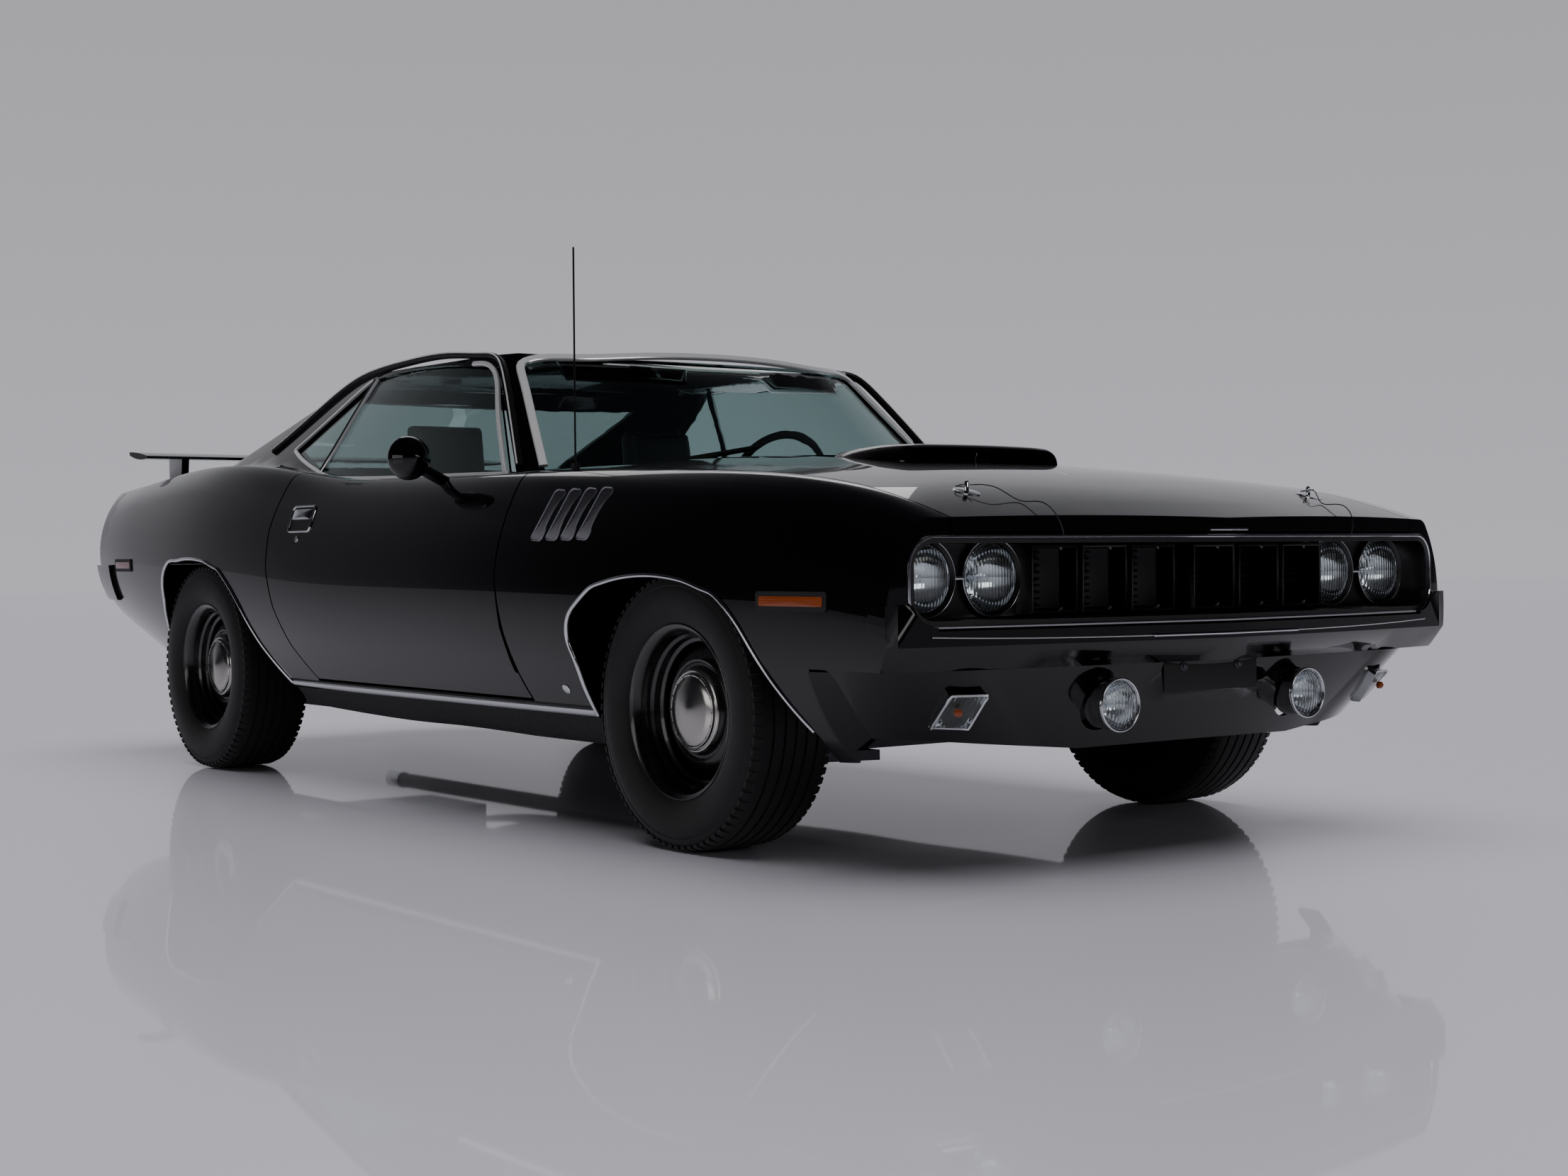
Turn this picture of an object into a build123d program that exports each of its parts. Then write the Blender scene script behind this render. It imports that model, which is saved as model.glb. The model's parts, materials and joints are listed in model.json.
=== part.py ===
from build123d import *
import math
import os

# A two-door hardtop muscle car. Millimetres.
# +X is forward, +Y the car's left, +Z up. The origin is on the floor, under the middle of the body.
# Pieces are modelled on the right side (-Y) and mirrored.

# Driving dimensions
wheelbase = 2742
front_axle_x = 1449
rear_axle_x = front_axle_x - wheelbase
front_track = 1517
rear_track = 1542
front_tyre_r = 326
rear_tyre_r = 336
tyre_width = 236
rim_r = 190
rim_width = 186
body_half_width = 951
nose_x = 2370
tail_x = -2345
roof_z = 1293
belt_z = 905

seat_gap = 0.3                 # between pieces that touch
panel_gap = 5                  # between panels that pass each other
door_gap = 8
lid_gap = 12                   # at the edges that swing past the next panel
hood_rear_gap = 20             # the hood's rear edge rises past the cowl
far = 3000                     # reaches past the car on any side

skin = 14                      # fender and quarter skins
lid = 26                       # hood and deck lid
door_depth = 176               # whole door, skin to inner trim
roof_wall = 34                 # roof with its lining, and the pillars
glass = 6
glass_set = 9                  # glass lies this far inside the outer surface
shoulder_r = 42                # rounding between the body's side and its top

# Body: stations along the car. The side is an arc from the sill past the widest point to the
# shoulder, and the top an arc from shoulder to shoulder over the crown.
#   x, sill y, sill z, widest y, widest z, shoulder y, shoulder z, crown z
body_stations = [
    (-2460, 690, 470, 835, 715, 755, 924, 938),
    (-2150, 725, 405, 875, 708, 785, 950, 966),
    (-1750, 765, 335, 912, 700, 818, 974, 992),
    (-1250, 790, 280, 941, 690, 846, 994, 1012),
    (-850, 797, 252, 949, 668, 858, 972, 993),
    (-480, 800, 236, body_half_width, 645, 862, 935, 958),
    (100, 800, 225, body_half_width, 625, 864, 911, 940),
    (700, 798, 222, 950, 616, 860, 903, 953),
    (1250, 790, 223, 940, 618, 850, 888, 944),
    (1700, 772, 230, 922, 620, 838, 868, 904),
    (2020, 758, 240, 905, 620, 828, 828, 860),
    (2240, 748, 262, 892, 618, 820, 772, 806),
    (2460, 735, 300, 875, 615, 812, 706, 732),
]
nose_corner = (2262, 880)      # where the front's plan arcs meet the sides
tail_corner = (-2312, 880)

# Greenhouse: plan outlines at two heights.
#   z, front corner, front middle x, side's middle, rear corner, rear middle x
glass_base = (belt_z, (585, 762), 800, (-300, 800), (-1900, 700), -1950)
glass_head = (1250, (238, 634), 415, (-250, 640), (-700, 600), -780)
rail_half, rail_z = 640, 1258  # the roof's crown arc starts over the side rails

# Panel lines seen from the side, front to back of the door, and the arches
door_front = [(765, 1400), (758, 780), (752, 640), (780, 494), (822, 330)]
door_rear = [(-441, 330), (-535, 430), (-600, 540), (-636, 660), (-640, 780), (-598, 1000), (-598, 1400)]
door_low = 330
door_inner_y = body_half_width - door_depth
sill_low, sill_top = 222, door_low - door_gap
front_arch = [(1104, 100), (1104, 440), (1092, 520, "arc"), (1128, 567), (1198, 613), (1340, 640, "arc"),
              (1586, 630), (1684, 604), (1752, 556, "arc"), (1790, 512), (1837, 441), (1888, 364), (1932, 295),
              (1932, 100)]
rear_arch = [(-1700, 100), (-1680, 360), (-1600, 470), (-1550, 560), (-1520, 645, "arc"), (-1403, 684),
             (-1261, 692, "arc"), (-1125, 682), (-1012, 656), (-912, 590, "arc"), (-841, 513), (-774, 427),
             (-698, 342), (-660, 300), (-660, 100)]
side_window = [(560, 850), (560, 905), (262, 1222), (-180, 1252, "arc"), (-525, 1238), (-907, 1031),
               (-620, 948), (-600, 850)]
door_window = [(515, 850), (515, 905), (245, 1214), (-180, 1244, "arc"), (-523, 1234), (-646, 850)]
glass_split = [(-3000, 850), (-652, 850), (-524, 1250), (-3000, 1250)]
windshield_view = [(-705, 860), (705, 860), (700, 925), (588, 1236), (0, 1258, "arc"), (-588, 1236),
                   (-700, 925)]
back_window_plan = [(-1690, -620), (-1690, 620), (-880, 545), (-905, 0, "arc"), (-880, -545)]
roof_rear_x = -700             # the roof's side edge meets the quarter's pillar here
kick_front_x, kick_top = -600, 1000
pillar_in_y = 560

# Hood, scoop and deck lid
hood_half = 745
hood_rear_x, hood_mid_x = 705, 880
hood_lip_z = 733
hood_pivot = (668, 888)
hood_arm_y = 700
scoop_rear_x, scoop_front_x, scoop_half = 1120, 1560, 262
scoop_top = 962
deck_half = 690
deck_front_x = -1650
deck_pivot = (deck_front_x + 150, 958)
deck_arm_y = 548
arm_width = 12
pin_r = 5
door_pin_r = 6
hinge_x, hinge_y = 800, 906
hinge_levels = (520, 640)
hinge_height = 40
# z and radius of the hollow in the door's leading edge, about the hinge line
edge_relief_r = [(400, 10), (430, 22), (470, 35), (510, 48), (570, 56), (630, 62), (690, 58), (750, 47.5),
                 (810, 39), (850, 30)]

# Front and rear ends
mouth_top, mouth_low, mouth_half, mouth_r, mouth_wall = 722, 538, 845, 60, 12
bumper_top, bumper_low, bumper_side_top = 530, 446, 585
bumper_proud = 12
bumper_end_x = 2215
valance_end_x = 1990
# the valance's plan under the bumper and at its foot: the right half, from the fender to the middle
valance_top_z, valance_foot_z = 446, 230
valance_top_plan = [(1900, -884), (2085, -872), (2218, -800, "arc"), (2276, -640), (2318, 0, "arc")]
valance_foot_plan = [(1900, -742), (1990, -722), (2122, -610, "arc"), (2205, -400), (2262, 0, "arc")]
# under the valance, seen from the front
valance_under = [(-1000, 302), (-700, 292), (-300, 258), (300, 258), (700, 292), (1000, 302), (1000, 0),
                 (-1000, 0)]
roll_z, roll_in = 500, 26      # the bumper's lower edge turns in from this height
lamp_y, lamp_z, lamp_r, lamp_face_x = (555, 744), 637, 73, 2200
fog_y, fog_z, fog_r, fog_face_x = 307, 359, 58, 2335
plate_x, plate_z, plate_spacing, plate_hole_r = 2312, 434, 178, 3.5
tail_top, tail_low = 902, 672
tail_valance_low = 440
tail_bumper_low = 545
tail_end_x = -2150

# Structure
pillar_x, plate_t = 838, 16    # the post that carries the door hinges
cowl_low = 868
firewall_x = 812
apron_y = 440
trunk_z = 420
floor_t = 20
pipe_r, pipe_y = 28, 330
jack_pad_x, pad_t = (-500, 600), 4
king_y = 680                   # the steering axis
tyre_sweep_r = 370             # what a steered tyre reaches about that axis, with its clearance
engine_top, engine_front_x, engine_rear_x, engine_half = 780, 1560, 860, 250


# Outlines and blocks
def place(plane, at, u, v):
    """A point of an outline on the plane that lies at one value of its third axis."""
    return {"xz": (u, at, v), "xy": (u, v, at), "yz": (at, u, v)}[plane]


def outline(plane, at, points):
    """A closed wire. A point with a third entry is one that the arc between its neighbours passes."""
    edges = []
    count = len(points)
    for i, p in enumerate(points):
        if len(p) == 3:
            continue
        q, r = points[(i + 1) % count], points[(i + 2) % count]
        start = place(plane, at, p[0], p[1])
        if len(q) == 3:
            edges.append(Edge.make_three_point_arc(start, place(plane, at, q[0], q[1]),
                                                   place(plane, at, r[0], r[1])))
        else:
            edges.append(Edge.make_line(start, place(plane, at, q[0], q[1])))
    return Wire(edges)


def prism(plane, points, low, high):
    """An outline extruded along the plane's third axis, from low to high."""
    run = {"xz": (0, high - low, 0), "xy": (0, 0, high - low), "yz": (high - low, 0, 0)}[plane]
    return Solid.extrude(Face(outline(plane, low, points)), Vector(*run))


def block(x0, x1, y0, y1, z0, z1):
    return prism("xy", [(x0, y0), (x1, y0), (x1, y1), (x0, y1)], z0, z1)


def right(x0, x1, y_in, z0, z1):
    """A region of the right side, from y_in outward."""
    return block(x0, x1, -far, -y_in, z0, z1)


def band(x0, x1, half, z0, z1):
    """A region across the middle."""
    return block(x0, x1, -half, half, z0, z1)


def rounded_band(x0, x1, half, z0, z1, r):
    """A region across the middle with its four long edges rounded."""
    shape = Solid.make_box(x1 - x0, 2 * half, z1 - z0, Plane(origin=(x0, -half, z0)))
    return shape.fillet(r, shape.edges().filter_by(Axis.X))


def rod(start, end, r):
    start, end = Vector(*start), Vector(*end)
    run = end - start
    return Solid.make_cylinder(r, run.length, Plane(origin=start, z_dir=run))


def cross_rod(x, z, y0, y1, r):
    """A round bar across the car on the right side, from y0 out to y1."""
    return rod((x, -y0, z), (x, -y1, z), r)


def mirrored(shape):
    return shape.mirror(Plane.XZ)


def both(shape):
    """The piece and its mirror image."""
    return shape + mirrored(shape)


# The body's two forms
def body_section(station, inset):
    x, sill_y, sill_z, wide_y, wide_z, top_y, top_z, crown_z = station
    low, wide, top = (sill_y - inset, sill_z + inset), (wide_y - inset, wide_z), (top_y - inset, top_z - inset)
    wire = outline("yz", x, [(-low[0], low[1]), (-wide[0], wide[1], "arc"), (-top[0], top[1]),
                             (0, crown_z - inset, "arc"), top, (wide[0], wide[1], "arc"), low])
    shoulders = [v for v in wire.vertices() if v.Z > wide_z]
    return wire.fillet_2d(shoulder_r - inset, shoulders)


def plan_prism(inset):
    """The body seen from above: open at the sides, with a blunt V at the nose and a bowed tail."""
    fx, fy = nose_corner
    rx, ry = tail_corner
    side = far / 2
    bow = ((fx + nose_x) / 2 + 12, fy / 2)
    ends = [(fx - inset, -fy), (bow[0] - inset, -bow[1], "arc"), (nose_x - inset, 0),
            (bow[0] - inset, bow[1], "arc"), (fx - inset, fy), (fx - 160 - inset, side),
            (rx + 60 + inset, side), (rx + inset, ry), (tail_x + inset, 0, "arc"), (rx + inset, -ry),
            (rx + 60 + inset, -side), (fx - 160 - inset, -side)]
    return prism("xy", ends, -100, far)


def body(inset):
    """The lower body as one solid, its surface moved inward by inset."""
    return Solid.make_loft([body_section(s, inset) for s in body_stations], False) & plan_prism(inset)


def cabin_outline(level, inset):
    z, (fx, fy), front_x, (sx, sy), (rx, ry), rear_x = level
    return outline("xy", z, [(fx - inset, -(fy - inset)), (front_x - inset, 0, "arc"), (fx - inset, fy - inset),
                             (sx, sy - inset, "arc"), (rx + inset, ry - inset), (rear_x + inset, 0, "arc"),
                             (rx + inset, -(ry - inset)), (sx, -(sy - inset), "arc")])


def between(low, high, z):
    """The plan outline that straight lines between two levels reach at height z."""
    k = (z - low[0]) / (high[0] - low[0])

    def mix(a, b):
        if isinstance(a, tuple):
            return tuple(mix(p, q) for p, q in zip(a, b))
        return a + (b - a) * k
    return (z,) + tuple(mix(a, b) for a, b in zip(low[1:], high[1:]))


def cabin(inset):
    """The greenhouse as one solid, from inside the body to the roof's crown."""
    levels = [between(glass_base, glass_head, z) for z in (760, 1320)]
    walls = Solid.make_loft([cabin_outline(level, inset) for level in levels], True)
    crown = prism("yz", [(-900, 700), (-900, 1180 - inset), (-rail_half, rail_z - inset),
                         (0, roof_z - inset, "arc"), (rail_half, rail_z - inset), (900, 1180 - inset),
                         (900, 700)], -far, far)
    bow = prism("xz", [(1400, 700), (1400, 880 - inset), (480, 1228 - inset), (-230, roof_z - inset, "arc"),
                       (-900, 1222 - inset), (-2100, 905 - inset), (-2100, 700)], -far, far)
    return walls & crown & bow


outer = body(0)
over = body(-seat_gap)
under_skin = body(skin)
under_lid = body(lid)
seat = body(skin + seat_gap)
skin_shell = outer - under_skin
lid_shell = outer - under_lid
bumper_shell = body(-bumper_proud) - body(2 * skin)
house = cabin(0)
house_in = cabin(roof_wall)
house_shell = house - house_in
glass_shell = cabin(glass_set) - cabin(glass_set + glass)
print("forms ready")


def hood_plan(gap, rear_gap):
    """The hood seen from above, its rear edge bowed along the windshield."""
    half = hood_half + gap
    return prism("xy", [(far, -half), (far, half), (hood_rear_x - rear_gap, half),
                        (hood_mid_x - rear_gap, 0, "arc"), (hood_rear_x - rear_gap, -half)], 400, far)


def deck_plan(gap, front_gap):
    half = deck_half + gap
    return prism("xy", [(-far, -half), (deck_front_x + front_gap, -half), (deck_front_x + front_gap + 20, 0, "arc"),
                        (deck_front_x + front_gap, half), (-far, half)], 400, far)


def door_side(gap):
    """The door seen from the side, grown by a gap."""
    front = [(x + gap, z - (gap if z == door_low else 0)) for x, z in door_front]
    rear = [(x - gap, z - (gap if z == door_low else 0)) for x, z in door_rear]
    return prism("xz", front + rear, -far, 0)


hood_hole = hood_plan(panel_gap, hood_rear_gap)
deck_hole = deck_plan(panel_gap, lid_gap)
front_arch_cut = prism("xz", front_arch, -far, 0)
rear_arch_cut = prism("xz", rear_arch, -far, 0)
mouth = rounded_band(2000, far, mouth_half, mouth_low, mouth_top, mouth_r)
mouth_room = rounded_band(2000, far, mouth_half + seat_gap, mouth_low - seat_gap, mouth_top + seat_gap,
                          mouth_r + seat_gap)
side_cut = prism("xz", side_window, -far, -400)
screen_cut = prism("yz", windshield_view, 0, far)
back_cut = prism("xy", back_window_plan, 900, far)
parts = {}


def pair(name, shape):
    """A piece on the right side and its mirror image on the left."""
    parts[name + "_right"] = shape
    parts[name + "_left"] = mirrored(shape)


# Outer panels
def fender():
    reach = skin_shell & right(-far, far, hood_half + panel_gap, 0, far)
    behind = prism("xz", [(x + door_gap, z) for x, z in door_front]
                   + [(door_front[-1][0] + door_gap, 0), (-far, 0), (-far, 1400)], -far, 0)
    over_sill = right(-far, front_axle_x, 0, 0, sill_top + seat_gap)
    low_front = right(valance_end_x, far, 0, 0, bumper_low) + right(bumper_end_x, far, 0, 0, bumper_side_top)
    return reach - behind - front_arch_cut - mouth - over_sill - low_front


def pillar_space(gap):
    """Where the quarter's pillar stands, down to the kick-up at the foot of its window."""
    tall = right(-far, roof_rear_x + gap, pillar_in_y - gap, 900, far)
    return tall + right(-far, kick_front_x + gap, pillar_in_y - gap, 900, kick_top)


def quarter():
    """The rear quarter's skin, the wall beside the rear seat and the roof's rear pillar."""
    reach = skin_shell & right(-far, far, deck_half + panel_gap, 0, far)
    ahead = prism("xz", [(x - door_gap, z) for x, z in door_rear]
                  + [(far, 1400), (far, 0), (door_rear[0][0] - door_gap, 0)], -far, 0)
    over_sill = right(rear_axle_x, far, 0, 0, sill_top + seat_gap)
    wall = outer & right(-860, -400, door_inner_y, sill_top, far)
    jamb = door_side(2 * door_gap) & block(-far, far, -880, 0, 0, far)
    shape = (reach + (wall - jamb) - house_in) - ahead - right(-far, tail_end_x, 0, 0, tail_low)
    pillar = (house_shell - under_skin) & pillar_space(0)
    return shape - rear_arch_cut - over_sill + (pillar - side_cut - back_cut - deck_hole)


def roof():
    """The roof with the windshield pillars and the rear window's header."""
    shape = house_shell - over - screen_cut - back_cut - both(side_cut)
    return shape - both(pillar_space(seat_gap)) - band(-far, -950, far, 0, far)


pair("fender", fender())
pair("quarter", quarter())
parts["roof"] = roof()
parts["windshield"] = (glass_shell & screen_cut) - over
parts["rear_window"] = (glass_shell & back_cut) - over
side_glass = (glass_shell & side_cut) - over
parts["quarter_glass"] = both(side_glass & prism("xz", glass_split, -far, 0))
print("panels ready")


# Doors
def hinge_eyes():
    """Two goose-necked straps from the door's front face round to the hinge pins."""
    shape = None
    for z in hinge_levels:
        top = z + hinge_height
        eye = rod((hinge_x, -hinge_y, z), (hinge_x, -hinge_y, top), 2 * door_pin_r)
        neck = block(hinge_x - 6, hinge_x + 6, -hinge_y + 2, -840, z, top)
        strap = block(740, hinge_x + 6, -856, -840, z, top)
        bore = rod((hinge_x, -hinge_y, z), (hinge_x, -hinge_y, top), door_pin_r + seat_gap)
        piece = (eye + neck + strap) - bore
        shape = piece if shape is None else shape + piece
    return shape


def door_mirror():
    """A bullet-shaped mirror on a stalk at the front of the belt."""
    x, y, z, r, length = 318, 966, 958, 60, 78
    profile = Face(outline("xz", -y, [(x, z), (x, z + r - 8), (x + 8, z + r), (x + 55, z + r * 0.72, "arc"),
                                      (x + length, z)]))
    head = Solid.revolve(profile, 360, Axis((x, -y, z), (1, 0, 0)))
    stalk = rod((x + 30, -845, 885), (x + 30, -y + 10, z - 20), 16)
    return head + stalk


def edge_relief():
    """The hollow in the door's leading edge that the fender's edge turns into as the door opens."""
    profile = [(hinge_x, 390)] + [(hinge_x - r, z) for z, r in edge_relief_r] + [(hinge_x, 870)]
    return Solid.revolve(Face(outline("xz", -hinge_y, profile)), 360, Axis((hinge_x, -hinge_y, 0), (0, 0, 1)))


def door():
    slab = outer & door_side(0) & right(-far, far, door_inner_y, door_low, far)
    return slab - edge_relief() + hinge_eyes() + door_mirror()


pair("door", door())
pair("door_glass", side_glass & prism("xz", door_window, -far, 0))
print("doors ready")


# Hood and deck lid, with their hinge arms
def hood():
    x, z = hood_pivot
    panel = lid_shell & hood_plan(0, 0) & band(-far, far, far, hood_lip_z, far)
    hole = band(scoop_rear_x - lid_gap, scoop_front_x + lid_gap, scoop_half + 8, 700, far)
    y0, y1 = hood_arm_y, hood_arm_y + arm_width
    blade = block(x + 7, x + 160, -y1, -y0, z - 8, 960) & under_lid
    arm = cross_rod(x, z, y0, y1, 9) + blade - cross_rod(x, z, y0, y1, pin_r + seat_gap)
    return panel - hole + both(arm)


def deck_arm():
    """A gooseneck: an arc about the pivot that swings clear of the deck panel's edge."""
    x, z = deck_pivot
    y0, y1 = deck_arm_y, deck_arm_y + arm_width
    r = x - deck_front_x + 16
    arc = cross_rod(x, z, y0, y1, r + 16) - cross_rod(x, z, y0, y1, r)
    arc = arc & prism("xz", [(x, z), (x - 400, z + 70), (x - 400, z - 520)], -far, 0)
    foot = (x - (r + 8) * math.cos(math.radians(50)), z - (r + 8) * math.sin(math.radians(50)))
    spoke = prism("xz", [(x - 5, z + 6), (x + 5, z - 6), (foot[0] + 5, foot[1] - 6), (foot[0] - 5, foot[1] + 6)],
                  -y1, -y0)
    arm = arc + spoke + cross_rod(x, z, y0, y1, 10)
    arm = arm - cross_rod(x, z, y0, y1, pin_r + seat_gap)
    return arm & (under_lid + block(x - 80, x + 80, -600, -500, 700, z + 20))


def deck_lid():
    panel = lid_shell & deck_plan(0, 0) & band(-far, far, far, tail_top + panel_gap, far)
    return panel + both(deck_arm())


def spoiler():
    """A wing across the deck lid on two posts."""
    wing = prism("xz", [(-2130, 1058), (-2215, 1058, "arc"), (-2300, 1076), (-2302, 1088), (-2215, 1082, "arc"),
                        (-2130, 1068)], -745, 745)
    post = prism("xz", [(-2280, 900), (-2180, 900), (-2160, 1062), (-2285, 1074)], -600, -572)
    return wing + both(post - over)


parts["hood"] = hood()
parts["trunk_lid"] = deck_lid()
parts["rear_spoiler"] = spoiler()
print("lids ready")


# Ends
def whole_plan(half_plan, inset):
    """A closed plan outline from its right half, moved inward by inset."""
    right_half = [(p[0] - inset, p[1] + inset if p[1] else 0) + p[2:] for p in half_plan]
    left_half = [(p[0], -p[1]) + p[2:] for p in reversed(right_half[:-1])]
    return right_half + left_half


def valance_form(inset):
    foot = outline("xy", valance_foot_z, whole_plan(valance_foot_plan, inset))
    return Solid.make_loft([foot, outline("xy", valance_top_z, whole_plan(valance_top_plan, inset))], True)


def bumper_roll():
    """What the bumper keeps: all above the roll, and below it a form that turns in."""
    fx, fy = nose_corner
    outlines = []
    for z, reach in ((bumper_low, -roll_in), (roll_z, bumper_proud + 2)):
        half = [(fx - 160 + reach, -far / 2), (fx + reach, -fy), ((fx + nose_x) / 2 + 12 + reach, -fy / 2, "arc"),
                (nose_x + reach, 0)]
        mirrored_half = [(p[0], -p[1]) + p[2:] for p in reversed(half[:-1])]
        outlines.append(outline("xy", z, half + mirrored_half + [(1800, far / 2), (1800, -far / 2)]))
    return Solid.make_loft(outlines, True) + band(1800, far, far, roll_z, far)


def front_bumper():
    """The body-coloured bumper under the mouth, higher where it wraps round the corners."""
    low = bumper_shell & band(bumper_end_x + seat_gap, far, far, bumper_low, bumper_top - seat_gap)
    corner = bumper_shell & right(bumper_end_x + seat_gap, far, mouth_half - mouth_r, bumper_low,
                                  bumper_side_top - seat_gap)
    lip = block(2270, 2330, -700, 700, bumper_low, bumper_low + 8) & outer
    return (low + both(corner - mouth_room) + lip) & bumper_roll()


def front_valance():
    """The panel under the bumper, falling back to the wheels, with the plate's bracket and the fog lamps' holes."""
    reach = band(valance_end_x + seat_gap, far, far, valance_foot_z, bumper_low - seat_gap)
    shape = ((valance_form(0) - valance_form(skin)) & reach & outer) - prism("yz", valance_under, 1900, far)
    shape = shape + band(2290, plate_x, 150, 376, bumper_low - seat_gap)
    for y in (-plate_spacing / 2, plate_spacing / 2):
        shape = shape - rod((2200, y, plate_z), (2400, y, plate_z), plate_hole_r)
    return shape - both(rod((2200, -fog_y, fog_z), (2400, -fog_y, fog_z), fog_r + seat_gap))


def grille():
    """The mouth's lining and its back panel, with six wells of slats and four lamp holes."""
    back_x, panel_t = 2176, 12
    shape = rounded_band(back_x, far, mouth_half, mouth_low, mouth_top, mouth_r)
    shape = shape - rounded_band(back_x + panel_t, far, mouth_half - mouth_wall, mouth_low + mouth_wall,
                                 mouth_top - mouth_wall, mouth_r - mouth_wall)
    well_y, well_half, well_z, well_wall = (100, 253, 405), 70, (556, 706), 6
    slats, slat_pitch, slat_low, slat_t = 5, 26, 575, 6
    for y in well_y:
        well = block(back_x - 60, back_x + 60, -y - well_half, -y + well_half, *well_z)
        opening_half = well_half - well_wall
        shape = shape - both(well)
        cup = well - block(back_x - 54, far, -y - opening_half, -y + opening_half, well_z[0] + well_wall,
                           well_z[1] - well_wall)
        for k in range(slats):
            z = slat_low + k * slat_pitch
            cup = cup + block(back_x - 56, back_x - 20, -y - opening_half - 2, -y + opening_half + 2, z, z + slat_t)
        shape = shape + both(cup)
    for y in lamp_y:
        shape = shape - both(rod((2100, -y, lamp_z), (2300, -y, lamp_z), lamp_r + seat_gap))
    return shape & outer


def tail_panel():
    """A shallow pan across the tail that the lamps sit in."""
    half = deck_half + panel_gap - seat_gap
    pan = outer & band(-far, -2278, half, tail_low, tail_top)
    return pan - band(-far, -2292, half - 24, tail_low + 20, tail_top - 20)


def lamp(y, z, r, back_x, face_x, dome):
    """A round lamp: a drum with a coned face."""
    face = Solid.make_cone(r, 0.5 * r, dome, Plane(origin=(face_x, -y, z), z_dir=(1, 0, 0)))
    return rod((back_x, -y, z), (face_x, -y, z), r) + face


parts["front_bumper"] = front_bumper()
parts["front_valance"] = front_valance()
parts["rear_bumper"] = bumper_shell & band(-far, tail_end_x - seat_gap, far, tail_bumper_low, tail_low - seat_gap)
parts["rear_valance"] = ((skin_shell & band(-far, tail_end_x - seat_gap, far, tail_valance_low,
                                            tail_bumper_low - seat_gap)) - band(-2290, 0, 700, 0, 530))
parts["grille"] = grille()
parts["headlamps"] = both(lamp(lamp_y[0], lamp_z, lamp_r, 2120, lamp_face_x, 14)
                          + lamp(lamp_y[1], lamp_z, lamp_r, 2120, lamp_face_x, 14))
parts["fog_lamps"] = both(lamp(fog_y, fog_z, fog_r, 2250, fog_face_x - 10, 10))
parts["tail_panel"] = tail_panel()
parts["tail_lamps"] = both(block(-2312, -2292 - seat_gap, -640, -120, 712, 830))
print("ends ready")


# Trim on the root body
def gills():
    """Four slanted bright gills on each fender."""
    pitch, width, lean = 68, 34, 46
    sheet = (body(-4) - over) & right(900, 1250, 500, 720, 870)
    shape = None
    for k in range(4):
        x = 926 + k * pitch
        bar = prism("xz", [(x, 729), (x + width, 729), (x + width + lean, 853), (x + lean, 853)], -far, 0)
        piece = sheet & bar
        shape = piece if shape is None else shape + piece
    return both(shape)


parts["fender_gills"] = gills()
marker_sheet = body(-3) - over
parts["marker_lamps"] = both((marker_sheet & right(1852, 2080, 500, 570, 608))
                             + (marker_sheet & right(-2075, -1890, 500, 690, 720)))
parts["antenna"] = (rod((915, -800, 880), (915, -800, 925), 11) - outer) + rod((915, -800, 915), (915, -800, 1470), 2.5)
print("trim ready")


# Structure under the skins
def engine_bay():
    """Firewall, aprons with their ledges, rails, radiator support and the door-hinge posts."""
    wall = band(firewall_x, firewall_x + plate_t, 700 - seat_gap, 260, cowl_low) - band(800, 840, 110, 0, 420)
    apron = block(firewall_x, 2020, -apron_y - 14, -apron_y, 320, 800)
    ledge = block(pillar_x, 2020, -far, -apron_y, 756, 770)
    rail = block(firewall_x, 2190, -apron_y, -apron_y + 70, 320, 420)
    post = block(pillar_x, pillar_x + plate_t, -far, -690, sill_top + seat_gap, cowl_low)
    support = band(2006, 2020, 740, 300, 740) - band(2000, 2030, 400, 360, 700)
    shape = (wall + both(apron + ledge + rail + post) + support) & seat
    for z in hinge_levels:
        lug = block(hinge_x - 12, pillar_x + 2, -hinge_y - 11, -hinge_y + 11, z - 14, z - seat_gap)
        pin = rod((hinge_x, -hinge_y, z - 8), (hinge_x, -hinge_y, z + hinge_height + 6), door_pin_r)
        shape = shape + both(lug + pin)
    return shape


def cowl():
    """The box under the windshield, which carries the hood's hinge pins in two pockets."""
    x, z = hood_pivot
    shape = outer & band(500, far, door_inner_y - 6, cowl_low + seat_gap, far)
    shape = shape - hood_hole - house_in - both(right(hood_rear_x, far, hood_half, 0, far))
    pocket = block(x - 20, far, -hood_arm_y - arm_width - 10, -hood_arm_y + 10, 0, z + 16)
    slot = block(x + 5, far, -hood_arm_y - arm_width - 6, -hood_arm_y + 6, 0, far)
    pin = cross_rod(x, z, hood_arm_y - 14, hood_arm_y + arm_width + 14, pin_r)
    return shape - both(pocket + slot) + both(pin)


def rear_deck():
    """The panel between the rear window and the deck lid, with the lid's hinge brackets."""
    x, z = deck_pivot
    sail_foot = house_shell & right(-far, roof_rear_x, pillar_in_y, 900, far)
    shape = skin_shell & band(-1700, -1000, deck_half + panel_gap, 900, far)
    shape = shape - deck_hole - both(sail_foot) - (house_in & band(x + 40, 0, far, 0, far))
    bracket = block(x - 14, x + 14, -deck_arm_y + 6, -deck_arm_y + 16, z - 10, 1060) & under_skin
    pin = cross_rod(x, z, deck_arm_y - 15, deck_arm_y + arm_width + 4, pin_r)
    return shape + both(bracket + pin)


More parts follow.
